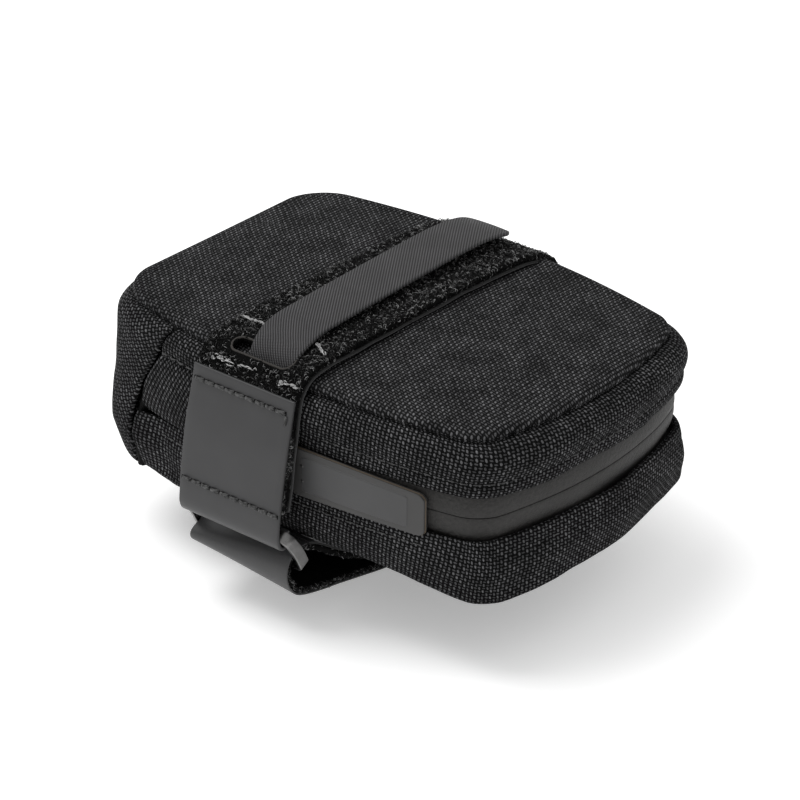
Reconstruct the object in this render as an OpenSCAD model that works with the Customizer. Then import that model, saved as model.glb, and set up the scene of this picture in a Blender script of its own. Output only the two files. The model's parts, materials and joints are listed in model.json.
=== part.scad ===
// Small under-saddle bag: a rounded fabric box with a coated zip round its rear, held to the
// saddle rails by one wide hook-and-loop strap with a metal ring, a folded patch and a wing of webbing.
// +X runs from the seat-post end to the rear, -Y is the ring side and +Z is up.
// The origin is the middle of the strap's top face, where the saddle rails lie.
// All heights in the modules are from the bag's flat underside; placed() moves them to the origin.

/* [Bag] */
// Length of the bag between its straight end lines
bag_l = 124.5; // [110:0.5:150]
// Width of the bag at its corners
bag_w = 82.2; // [72:0.2:96]
// Height of the top seam at the strap
seam_z = 43.2; // [38:0.2:52]
// How far each long side bows outwards
bow_side = 8.5; // [4:0.5:10]
// How far the rear end bows outwards
bow_rear = 7.4; // [3:0.2:9]
// Corner radius at the front end
corner_front = 12.3; // [8:0.5:18]
// Corner radius at the rear end
corner_rear = 6; // [5:0.5:14]
// Rise of the padded top above its seam
crown = 2.7; // [1.5:0.1:3]
// Thickness of the woven shell
shell_t = 1.4; // [1:0.1:1.8]

/* [Zip] */
// Height of the zip slit above the underside
slit_z = 22.3; // [18:0.1:26]
// Visible height of the zip tape
band_h = 12.4; // [10:0.2:14]
// Clear width of the slit
slit_w = 1.2; // [1.1:0.1:1.6]
// Travel of the slider along the near side
slide_travel = 34; // [20:1:36]

/* [Strap] */
// Width of the hook-and-loop strap
strap_w = 32.6; // [28:0.2:38]
// Thickness of the strap
strap_t = 2.8; // [2.4:0.1:3]
// Thickness of the sewn patch
patch_t = 1; // [0.8:0.1:1.2]
// Width of the wing webbing
wing_w = 15; // [12:0.5:16]
// Thickness of the wing webbing
wing_t = 1.2; // [1:0.1:1.4]

/* [Ring] */
// Width of the ring's bars seen from the side
ring_band = 3.2; // [2.6:0.1:3.4]
// Thickness of each side arm
ring_arm = 1.8; // [1.4:0.1:2.4]

/* [Hidden] */

gap = 0.3;                              // clearance between pieces that move apart
big = 400;                              // larger than the bag, for cutting
bag_mid = 2.8;                          // centre of the bag's plan, rearwards of the strap
plan_taper = 0.04;                      // share of the width lost at the front end
top_slope = 0.00054;                    // share of each height lost per millimetre rearwards
rail_z = 49.2;                          // strap's top face
hinge_x = strap_w / 2 + 0.2;            // fold line of the lid, along the strap's rear edge
hinge_z = 46.4;                         // height of that fold line
zip_front = 4;                          // front end of the slit, under the strap
front_top = -29.7;                      // front seam at the top
front_mid = -38;                        // front seam at the height of the garage's top
front_low = -45.5;                      // front seam at the underside
hem_low = slit_z - band_h / 2;          // top hem of the lower shell
hem_high = slit_z + band_h / 2;         // bottom hem of the upper sidewall
garage_top = 34.6;                      // upper edge of the side pleats
tape_in = 1.6;                          // zip tape's depth behind the hems
tape_t = 0.8;                           // thickness of the zip tape
coil_t = 1.5;                           // thickness of the coil
slider_x = 10;                          // middle of the slider when closed
ARC_STEPS = 7;
SIDE_STEPS = 9;

// ---- plan outline of the bag, as a formula ----
function arc(cx, cy, r, a0, a1) =
    [for (i = [0:ARC_STEPS]) let(a = a0 + (a1 - a0) * i / ARC_STEPS) [cx + r * cos(a), cy + r * sin(a)]];
function run(p, q) = [for (i = [1:SIDE_STEPS]) p + (q - p) * i / (SIDE_STEPS + 1)];
function box_outline(x, y, rf, rr) = concat(
    arc(-x + rf, -y + rf, rf, 180, 270), run([-x + rf, -y], [x - rr, -y]),
    arc(x - rr, -y + rr, rr, 270, 360), run([x, -y + rr], [x, y - rr]),
    arc(x - rr, y - rr, rr, 0, 90), run([x - rr, y], [-x + rf, y]),
    arc(-x + rf, y - rf, rf, 90, 180));
function widen(x, w) = 1 + 2 * bow_side / w * (1 - pow(2 * x / bag_l, 2)) - plan_taper * (0.5 - x / bag_l);
function bowed(p, w) = [
    p.x + bag_mid + (p.x > 0 ? bow_rear * (1 - pow(2 * p.y / w, 2)) * pow(2 * p.x / bag_l, 3) : 0),
    p.y * widen(p.x, w)];
function outline(inset) =
    let(x = bag_l / 2 - inset, y = bag_w / 2 - inset)
    [for (p = box_outline(x, y, max(corner_front - inset * 0.6, 1), max(corner_rear - inset * 0.3, 1)))
        bowed(p, 2 * y)];
function lift(z, x) = z * (1 - top_slope * x);
function side_y(x) = bag_w / 2 * widen(x - bag_mid, bag_w);

// ---- shells: a profile of [inset, height] carried round the outline ----
module carried(profile, closed) {
    rings = [for (p = profile) [for (q = outline(p[0])) [q.x, q.y, lift(p[1], q.x)]]];
    m = len(rings[0]);
    last = len(rings) - (closed ? 1 : 2);
    walls = [for (k = [0:last]) for (i = [0:m - 1])
        let(a = k * m, b = ((k + 1) % len(rings)) * m, j = (i + 1) % m)
        each [[a + i, b + i, b + j], [a + i, b + j, a + j]]];
    first_cap = [for (i = [0:m - 1]) i];
    last_cap = [for (i = [m - 1:-1:0]) (len(rings) - 1) * m + i];
    polyhedron([for (r = rings) each r], closed ? walls : concat(walls, [first_cap, last_cap]));
}
module slab(inset, z0, z1) {
    carried([[inset, z0], [inset, z1]], false);
}
module wall_band(outer, thick) {
    inner = [for (i = [len(outer) - 1:-1:0]) [outer[i][0] + thick, outer[i][1]]];
    carried(concat(outer, inner), true);
}

// ---- zones that cut the shells at the real seams ----
module zone(points) {
    rotate([90, 0, 0]) linear_extrude(big, center = true) polygon(points);
}
module front_zone(shift = 0) {
    zone([[-big, -big], [front_low + shift, -big], [front_low + shift, 0], [front_mid + shift, garage_top],
        [front_top + shift, seam_z + 1], [front_top + shift, big], [-big, big]]);
}
module ahead_of(x, z0 = -big, z1 = big) {
    translate([-big + x, -big / 2, z0]) cube([big, big, z1 - z0]);
}
module behind(x, z0 = -big, z1 = big) {
    translate([x, -big / 2, z0]) cube([big, big, z1 - z0]);
}
module near_half() {
    translate([-big / 2, -big, -big / 2]) cube(big);
}
module placed() {
    translate([0, 0, -rail_z]) children();
}

// ---- profiles, from the outside of each piece ----
lower_outer = [[4.6, 0], [2.2, 1.2], [0.6, 3.6], [-0.5, 8], [-0.4, 12.5], [0, hem_low]];
front_outer = [[4.6, 0], [2.2, 1.2], [0.6, 3.6], [-0.4, 10], [-0.7, 22], [-0.5, 34], [0.4, 40], [2.2, seam_z - 0.5]];
garage_outer = [[0, hem_low + 0.1], [-1.2, 19.5], [-1.7, 25], [-1.2, 31], [0, garage_top - 0.1]];
upper_outer = [[0, hem_high], [-0.9, 31.4], [-1.3, 35], [-0.7, 39], [0.9, 41.8], [2.2, seam_z - 0.5]];
crown_outer = [[2.4, seam_z], [3.2, seam_z + 1.1], [5.5, seam_z + 2], [10, seam_z + crown - 0.15],
    [18, seam_z + crown], [34, seam_z + crown]];

module crown_shell() {
    inner = [for (i = [len(crown_outer) - 1:-1:0])
        [crown_outer[i][0] + 0.3, max(crown_outer[i][1] - shell_t, seam_z - 0.4)]];
    top_first = [for (i = [len(crown_outer) - 1:-1:0]) crown_outer[i]];
    bottom_last = [for (i = [len(inner) - 1:-1:0]) inner[i]];
    carried(concat(top_first, bottom_last), false);
}
module welt() {
    carried([[2.25, seam_z - 0.35], [1.5, seam_z - 0.05], [1.6, seam_z + 0.65], [2.2, seam_z + 0.4]], true);
}

// ---- the shell ----
module bottom_panel() {
    color("#3d4043") placed() linear_extrude(1.2) polygon(outline(lower_outer[0][0] + shell_t + 0.1));
}
module base_stiffener() {
    color("#1c1c1e") placed() translate([0, 0, 1.3]) linear_extrude(1.5) polygon(outline(6.4));
}
module lower_sidewall() {
    color("#3d4043") placed() difference() {
        wall_band(lower_outer, shell_t);
        front_zone();
    }
}
module front_panel() {
    color("#414447") placed() intersection() {
        wall_band(front_outer, shell_t);
        front_zone(-1.1);
    }
}
module garage_panel() {
    difference() {
        wall_band(garage_outer, shell_t);
        front_zone();
        behind(zip_front - 0.1);
        behind(-big, garage_top - 0.1);
    }
}
module garage_panel_near() {
    color("#3f4245") placed() intersection() {
        garage_panel();
        near_half();
    }
}
module garage_panel_far() {
    color("#3f4245") placed() difference() {
        garage_panel();
        near_half();
    }
}
module upper_sidewall_front() {
    color("#3d4043") placed() difference() {
        wall_band(upper_outer, shell_t);
        front_zone();
        behind(hinge_x - gap / 2);
        ahead_of(zip_front, -big, garage_top);
    }
}
module top_panel_front() {
    color("#45484b") placed() difference() {
        crown_shell();
        behind(hinge_x - gap / 2);
    }
}
module top_welt_front() {
    color("#1f2022") placed() difference() {
        welt();
        behind(hinge_x - gap / 2);
    }
}
module front_seam_piping() {
    color("#232426") placed() intersection() {
        wall_band([[0.3, 4], [-0.9, 10], [-1.2, 22], [-1, 34], [-0.1, 40]], 1);
        difference() {
            front_zone(-0.1);
            front_zone(-1);
        }
    }
}
module body_foam() {
    color("#2a2a2c") placed() difference() {
        wall_band([[1.9, 4.4], [1.1, 9], [1.1, hem_low - 2.8]], 2);
        ahead_of(front_top);
    }
}
module body_lining() {
    color("#54585c") placed() union() {
        translate([0, 0, 2.9]) linear_extrude(0.6) polygon(outline(6.4));
        difference() {
            wall_band([[6.6, 3.2], [3.9, 5], [3.3, 9], [3.3, hem_low - 2.8]], 0.6);
            ahead_of(front_top);
        }
    }
}

// ---- the zip ----
module tape_band(z0, z1) {
    wall_band([[tape_in, z0], [tape_in, z1]], tape_t);
}
module coil_band(z0, z1) {
    wall_band([[tape_in + tape_t + 0.05, z0], [tape_in + tape_t + 0.05, z1]], coil_t);
}
module lower_zipper_tape() {
    color("#5b5855") placed() difference() {
        tape_band(hem_low - 2.6, slit_z - slit_w / 2);
        ahead_of(zip_front);
    }
}
module lower_zipper_coil() {
    color("#2c2c2c") placed() difference() {
        coil_band(slit_z - 2.2, slit_z - slit_w / 2);
        ahead_of(zip_front + 2);
    }
}
module upper_tape() {
    difference() {
        tape_band(slit_z + slit_w / 2, hem_high + 2.6);
        ahead_of(zip_front);
    }
}
module upper_tape_ends() {
    color("#5b5855") placed() difference() {
        upper_tape();
        behind(hinge_x - gap / 2);
    }
}
module upper_zipper_tape() {
    color("#5b5855") placed() intersection() {
        upper_tape();
        behind(hinge_x + gap / 2);
    }
}
module upper_zipper_coil() {
    color("#2c2c2c") placed() difference() {
        coil_band(slit_z + slit_w / 2, slit_z + 2.2);
        ahead_of(hinge_x + gap / 2);
    }
}
module zipper_stops() {
    color("#6a6a6c") placed() for (s = [-1, 1])
        translate([zip_front + 0.6, s * (side_y(zip_front + 1) - tape_in - tape_t - 0.95), slit_z])
            cube([1.6, 1.6, 3.4], center = true);
}

// The slider runs along the chord of the bowed side and falls with the slit towards the rear.
slide_end = slider_x + slide_travel;
slide_angle = atan((side_y(slider_x) - side_y(slide_end)) / slide_travel);
slide_fall = atan(slit_z * top_slope * cos(slide_angle));
module at_slider() {
    translate([slider_x, -side_y(slider_x), lift(slit_z, slider_x)]) rotate([0, slide_fall, slide_angle]) children();
}
plate_l = 8.4;
plate_h = 7.6;
outer_face = 0.75;                      // inner side of the outer plate, behind the hems
inner_face = tape_in + tape_t + coil_t + 0.45;
module plate(y0, y1) {
    translate([0, y0, 0]) rotate([-90, 0, 0]) linear_extrude(y1 - y0) union() {
        square([plate_l - 2.4, plate_h], center = true);
        for (s = [-1, 1]) translate([s * (plate_l / 2 - 2.8), 0]) circle(d = plate_h - 2, $fn = 40);
    }
}
module zipper_slider() {
    color("#77787a") placed() at_slider() union() {
        plate(outer_face - 1, outer_face);
        translate([-plate_l / 2 + 2, outer_face - 0.5, -0.3]) cube([1.6, inner_face + 0.5 - outer_face + 0.5, 0.6]);
        plate(inner_face, inner_face + 1);
    }
}
bridge_top = outer_face - 1;
module slider_bridge() {
    color("#77787a") placed() at_slider() difference() {
        translate([-3, bridge_top - 1.5, -1]) cube([6.4, 1.5, 2]);
        translate([-1.8, bridge_top - 0.9, -2]) cube([4, 1.2, 4]);
    }
}

// ---- the puller: a layered tab hung on a link through the bridge ----
tab_x0 = 7.2;                           // start of the tab, from the slider's middle
tab_len = 35.4;
tab_h = 12.2;
tab_y = -3.3;                           // outer face of the tab, outside the hems
tab_t = 1.7;
link_x = 0.9;                           // hinge line of the puller, inside the bridge
link_y = bridge_top - 0.45;
module rounded_bar(l, h, r) {
    square([l - 2 * r, h], center = true);
    square([l, h - 2 * r], center = true);
    for (sx = [-1, 1], sy = [-1, 1]) translate([sx * (l / 2 - r), sy * (h / 2 - r)]) circle(r, $fn = 32);
}
module puller_tab() {
    color("#6a6866") placed() at_slider() difference() {
        translate([tab_x0 + tab_len / 2, tab_y + tab_t, -0.5]) rotate([90, 0, 0])
            linear_extrude(tab_t) rounded_bar(tab_len, tab_h, 1.8);
        translate([tab_x0 + tab_len / 2, tab_y + 0.4, -0.5]) rotate([90, 0, 0])
            linear_extrude(1) rounded_bar(tab_len - 3.6, tab_h - 3.6, 1);
    }
}
module puller_inlay() {
    color("#85878a") placed() at_slider()
        translate([tab_x0 + tab_len / 2, tab_y + 0.4, -0.5]) rotate([90, 0, 0])
            linear_extrude(0.3) rounded_bar(tab_len - 3.8, tab_h - 3.8, 1);
}
module puller_link() {
    color("#8a8b8d") placed() at_slider() union() {
        translate([link_x, link_y, -2.4]) cylinder(r = 0.4, h = 4.8, $fn = 32);
        for (s = [-1, 1]) hull() {
            translate([link_x, link_y, s * 2.1 - 0.3]) cylinder(r = 0.4, h = 0.6, $fn = 32);
            translate([tab_x0 - 0.42, tab_y + tab_t / 2, s * 2.1 - 0.3]) cylinder(r = 0.4, h = 0.6, $fn = 32);
        }
    }
}

// ---- lid: everything behind the strap that lifts when the zip is open ----
module top_panel_rear() {
    color("#45484b") placed() intersection() {
        crown_shell();
        behind(hinge_x + gap / 2);
    }
}
module upper_sidewall_rear() {
    color("#3d4043") placed() intersection() {
        wall_band(upper_outer, shell_t);
        behind(hinge_x + gap / 2);
    }
}
module top_welt_rear() {
    color("#1f2022") placed() intersection() {
        welt();
        behind(hinge_x + gap / 2);
    }
}
module lid_foam() {
    color("#2a2a2c") placed() intersection() {
        slab(9, seam_z - 1.7, seam_z - 0.3);
        behind(hinge_x + 4);
    }
}
module lid_lining() {
    color("#54585c") placed() intersection() {
        union() {
            slab(4.6, seam_z - 2.6, seam_z - 2);
            wall_band([[2.6, 32], [2.6, 38], [4.2, seam_z - 2.3]], 0.6);
        }
        behind(hinge_x + 2);
    }
}

// ---- the strap: a smooth route in Y and Z, thickened on both sides ----
near_run = [[-56.7, 13.4], [-56.1, 16], [-54.4, 24], [-53, 32], [-51.9, 38.4], [-50.4, 43.4]];
top_run = [[-46.4, 46.7], [-40, 47.7], [-28, 47.9], [-12, 47.8], [12, 47.8], [30, 47.8], [41, 47.5], [47.4, 45.8]];
far_run = [[51, 41.6], [52.5, 33], [52.7, 22], [52.2, 10.6], [49.2, 0.8], [41, -7]];
belly_run = [[28, -12.6], [12, -16.2], [-4, -17.4], [-17, -15.8], [-27, -12.4], [-36, -7.6], [-45, -1.5]];
roll_run = [[-48.6, 0], [-52.2, -0.2], [-54.8, -3], [-54.9, -6.8], [-52.8, -10.2], [-49.6, -11.9]];
tail_run = [[-49.3, -12], [-43, -13.6], [-36.3, -14.9], [-27, -16.9], [-17, -18.9], [-4, -20.5], [13, -19.5]];
tail_y = -49.15;                        // where the free end starts, under the ring
strap_route = concat(near_run, top_run, far_run, belly_run, roll_run);

function knot(p, i) = i < 0 ? 2 * p[0] - p[1] : i >= len(p) ? 2 * p[len(p) - 1] - p[len(p) - 2] : p[i];
function spline_at(p, i, t) =
    let(a = knot(p, i - 1), b = p[i], c = p[i + 1], d = knot(p, i + 2))
    0.5 * (2 * b + (c - a) * t + (2 * a - 5 * b + 4 * c - d) * t * t + (3 * b - a - 3 * c + d) * t * t * t);
function smooth(p, n) = concat([for (i = [0:len(p) - 2]) for (k = [0:n - 1]) spline_at(p, i, k / n)], [p[len(p) - 1]]);
function unit(v) = v / norm(v);
function side_step(p, i) =
    let(d = unit(p[min(i + 1, len(p) - 1)] - p[max(i - 1, 0)])) [d.y, -d.x];
function shifted(p, s) = [for (i = [0:len(p) - 1]) p[i] + s * side_step(p, i)];
function reversed(p) = [for (i = [len(p) - 1:-1:0]) p[i]];

// A ribbon between two offsets from a route, positive towards the inside of the loop.
module ribbon(route, lo, hi, width, n = 4) {
    p = smooth(route, n);
    rotate([90, 0, 90]) linear_extrude(width, center = true) polygon(concat(shifted(p, lo), reversed(shifted(p, hi))));
}
module slot_cut(grow = 0) {
    translate([0, -45.6, 45]) rotate([38, 0, 0]) linear_extrude(12, center = true)
        rounded_bar(wing_w + 1.6 + 2 * grow, 3 + 2 * grow, 1.4 + grow);
}
module main_strap() {
    color("#2b2b2d") placed() difference() {
        ribbon(strap_route, -strap_t / 2, strap_t / 2, strap_w);
        slot_cut();
        translate([-big / 2, tail_y - gap, -20]) cube([big, 6, 10.5]);
    }
}
patch_run = concat([for (i = [0:4]) near_run[i]], [[-51, 42.2]]);
fold_run = [[-58.95, 13.4], [-58.9, 11.5], [-59.25, 8], [-59, 5.2], [-57.5, 3.8], [-55.8, 4.7], [-55.3, 7.4], [-56, 10.5]];
bar_y = -57.3;                          // upper bar of the ring, inside the fold
bar_z = 6.6;
bar_r = 1.05;
module strap_patch() {
    color("#7c7e80") placed() union() {
        ribbon(patch_run, -strap_t / 2 - 0.15 - patch_t, -strap_t / 2 - 0.15, strap_w);
        ribbon(fold_run, -patch_t / 2, patch_t / 2, strap_w);
    }
}
stitch_pitch = 3.1;
module stitch_row(y, z, x0, x1) {
    for (x = [x0:stitch_pitch:x1]) translate([x, y, z]) rotate([-8, 0, 0])
        cube([stitch_pitch - 0.9, 0.9, 0.7], center = true);
}
module patch_stitching() {
    color("#3c3d3f") placed() {
        stitch_row(-55, 39.2, -14, 14);
        stitch_row(-60.05, 12.4, -14, 14);
    }
}
module slot_binding() {
    color("#8b8c8e") placed() difference() {
        intersection() {
            ribbon(strap_route, -strap_t / 2 - 0.5, -strap_t / 2 - 0.02, strap_w);
            slot_cut(0.9);
        }
        slot_cut(0.1);
        translate([-wing_w / 2 - 0.2, -46.6, 44]) cube([wing_w + 0.4, 5, 8]);
    }
}
module bartacks() {
    color("#c9c9c6") placed() {
        for (x = [-11.8, 11.8]) translate([x, -37.6, 49.55]) cube([7.2, 1.2, 0.6], center = true);
        for (x = [-4, 12.6]) translate([x, -51.6, 45.2]) rotate([53, 0, 0]) cube([7.2, 1.2, 0.6], center = true);
    }
}

// ---- wing: webbing that comes out of the slot and lies on the strap ----
wing_root_y = -41;
wing_z = rail_z + 0.12;
module wing_anchor() {
    color("#77797c") placed() rotate([90, 0, 90]) linear_extrude(wing_w, center = true) polygon([
        [-42.5, wing_z], [wing_root_y - 0.3, wing_z + 0.03], [-42.2, wing_z + 0.3], [-42.5, wing_z + wing_t - 0.02],
        [-43.2, wing_z + wing_t - 0.05], [-45.6, 50.1], [-47.5, 49.4], [-47.8, 47.8], [-45.6, 45], [-44.7, 45.8],
        [-46.8, 48.5], [-44.6, 49.1]]);
}
module wing_webbing() {
    color("#77797c") placed() translate([0, 0, wing_z]) linear_extrude(wing_t) union() {
        translate([-wing_w / 2, wing_root_y + 0.15]) square([wing_w, 79]);
        translate([0, wing_root_y + 79]) intersection() {
            rounded_bar(wing_w, 9, 3.6);
            translate([-wing_w / 2, -4]) square([wing_w, 12]);
        }
    }
}

// ---- ring: side arms bowed towards the bag, joined by two bars ----
low_y = -51;
low_z = -3.9;
ring_mid = [-53.2, 2.2];
module ring_arm_shape() {
    p = smooth([[bar_y, bar_z], ring_mid, [low_y, low_z]], 8);
    polygon(concat(shifted(p, -ring_band / 2), reversed(shifted(p, ring_band / 2))));
    translate([bar_y, bar_z]) circle(ring_band / 2, $fn = 40);
    translate([low_y, low_z]) circle(ring_band / 2, $fn = 40);
}
ring_in = strap_w / 2 + 0.4;
module strap_ring() {
    color("#9a9a9a") placed() union() {
        for (s = [-1, 1]) translate([s * (ring_in + ring_arm / 2), 0, 0])
            rotate([90, 0, 90]) linear_extrude(ring_arm, center = true) ring_arm_shape();
        for (p = [[bar_y, bar_z, bar_r], [low_y, low_z, 1]]) translate([0, p[0], p[1]]) rotate([0, 90, 0])
            cylinder(r = p[2], h = 2 * ring_in + 0.4, center = true, $fn = 40);
    }
}

// ---- tail: the free end, folded back under the bag, with hooks on its upper face ----
hook_t = 0.5;
module strap_tail() {
    color("#6f7173") placed() difference() {
        ribbon(tail_run, hook_t - strap_t / 2, strap_t / 2, strap_w);
        translate([-big / 2, tail_y - big, -big / 2]) cube(big);
    }
}
module tail_hook_patch() {
    color("#1e1e20") placed() intersection() {
        ribbon(tail_run, -strap_t / 2, hook_t - strap_t / 2, strap_w - 3);
        translate([-big / 2, -20, -big / 2]) cube([big, 31, big]);
    }
}

bottom_panel();
base_stiffener();
lower_sidewall();
front_panel();
garage_panel_near();
garage_panel_far();
upper_sidewall_front();
top_panel_front();
top_welt_front();
front_seam_piping();
body_foam();
body_lining();
lower_zipper_tape();
lower_zipper_coil();
upper_tape_ends();
zipper_stops();
main_strap();
strap_patch();
patch_stitching();
slot_binding();
bartacks();
wing_anchor();
top_panel_rear();
upper_sidewall_rear();
top_welt_rear();
upper_zipper_tape();
upper_zipper_coil();
lid_foam();
lid_lining();
zipper_slider();
slider_bridge();
puller_tab();
puller_inlay();
puller_link();
strap_ring();
wing_webbing();
strap_tail();
tail_hook_patch();
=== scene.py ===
"""Looks of the saddle bag: a woven shell with a coated zip, and a hook-and-loop strap round it.

Lengths are in millimetres until solid() turns them into metres. Heights are from the bag's flat
underside, and the frame's origin lies RAIL_Z above it, on the strap's top face.
"""
import json
import math

import bmesh
import bpy
import numpy as np
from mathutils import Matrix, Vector

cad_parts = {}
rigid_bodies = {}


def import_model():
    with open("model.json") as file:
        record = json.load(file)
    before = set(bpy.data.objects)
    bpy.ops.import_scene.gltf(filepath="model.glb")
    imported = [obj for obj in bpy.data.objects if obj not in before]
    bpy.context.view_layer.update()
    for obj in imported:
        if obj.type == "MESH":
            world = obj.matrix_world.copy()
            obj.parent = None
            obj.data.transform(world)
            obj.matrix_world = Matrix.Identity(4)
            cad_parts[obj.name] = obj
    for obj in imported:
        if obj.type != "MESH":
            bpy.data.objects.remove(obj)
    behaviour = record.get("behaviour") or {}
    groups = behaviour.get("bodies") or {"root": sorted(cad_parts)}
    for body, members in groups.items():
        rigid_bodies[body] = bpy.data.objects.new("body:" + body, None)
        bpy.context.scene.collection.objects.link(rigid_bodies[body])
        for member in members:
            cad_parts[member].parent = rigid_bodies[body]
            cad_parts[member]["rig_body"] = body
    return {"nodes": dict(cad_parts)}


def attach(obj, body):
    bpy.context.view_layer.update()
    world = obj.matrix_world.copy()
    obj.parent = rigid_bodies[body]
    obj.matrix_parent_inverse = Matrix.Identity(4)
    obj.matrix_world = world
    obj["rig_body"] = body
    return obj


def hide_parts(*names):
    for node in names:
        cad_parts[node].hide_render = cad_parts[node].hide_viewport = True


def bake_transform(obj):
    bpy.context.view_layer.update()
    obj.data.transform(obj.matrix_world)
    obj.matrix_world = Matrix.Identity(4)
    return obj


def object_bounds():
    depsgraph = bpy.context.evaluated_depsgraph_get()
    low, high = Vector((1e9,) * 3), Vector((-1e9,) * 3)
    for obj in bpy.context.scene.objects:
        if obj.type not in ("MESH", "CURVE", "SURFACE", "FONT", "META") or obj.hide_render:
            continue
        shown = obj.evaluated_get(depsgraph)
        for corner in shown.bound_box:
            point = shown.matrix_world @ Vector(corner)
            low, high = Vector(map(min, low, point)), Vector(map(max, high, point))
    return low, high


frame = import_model()
cad_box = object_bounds()

MM = 0.001
RAIL_Z = 49.2

# The bag, as in the CAD
BAG_L, BAG_W = 124.5, 82.2
BAG_MID = 2.8
SEAM_Z = 43.2
BOW_SIDE, BOW_REAR = 8.5, 7.4
PLAN_TAPER = 0.04
TOP_SLOPE = 0.00054
CORNER_FRONT, CORNER_REAR = 12.3, 6.0
SHELL_T, LINING_T = 1.4, 0.5
SLIT_Z = 22.3
ZIP_FRONT = 4.0

# The strap and the webbing over the rails
STRAP_W = 32.6
WING_W, WING_T = 15.7, 1.1

# Softness of the shell's cloth with its foam, and of the loose foam
SHELL_FILL, FOAM_FILL = 0.5, 0.4

# The body that each fold leads to from the root, and where the bend starts and ends
FOLDS = {
    "lid_fold": ("lid", (-2.0, 0, SEAM_Z), (30.0, 0, SEAM_Z)),
    "tail_fold": ("tail", (0, -52.0, -10), (0, -44.0, -16)),
    "wing_fold": ("wing", (0, -43.5, RAIL_Z), (0, -35.0, RAIL_Z)),
}


# ---- camera, at the photograph's viewing angle ----
def make_camera():
    azimuth, elevation, away = math.radians(40.04), math.radians(28.16), 860
    back = Vector((math.sin(azimuth) * math.cos(elevation),
                   -math.cos(azimuth) * math.cos(elevation), math.sin(elevation)))
    right = Vector((math.cos(azimuth), math.sin(azimuth), 0))
    target = Vector((BAG_MID, 0, -27.7)) * MM
    aim = target + right * 2.0 * MM - back.cross(right) * 4.47 * MM
    data = bpy.data.cameras.new("camera")
    data.lens, data.sensor_width = 151.2, 36
    data.clip_start, data.clip_end = 0.05, 20
    camera = bpy.data.objects.new("camera", data)
    bpy.context.scene.collection.objects.link(camera)
    camera.location = target + back * away * MM
    camera.rotation_mode = "QUATERNION"
    camera.rotation_quaternion = (aim - camera.location).to_track_quat("-Z", "Y")
    bpy.context.scene.camera = camera


# ---- shader writing ----
class Value:
    """A socket of a shader that can stand in plain sums."""

    def __init__(self, shader, socket):
        self.shader, self.socket = shader, socket

    def __add__(self, other): return self.shader.math("ADD", self, other)
    def __sub__(self, other): return self.shader.math("SUBTRACT", self, other)
    def __rsub__(self, other): return self.shader.math("SUBTRACT", other, self)
    def __mul__(self, other): return self.shader.math("MULTIPLY", self, other)
    def __truediv__(self, other): return self.shader.math("DIVIDE", self, other)
    def __pow__(self, other): return self.shader.math("POWER", self, other)
    def __abs__(self): return self.shader.math("ABSOLUTE", self)


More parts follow.
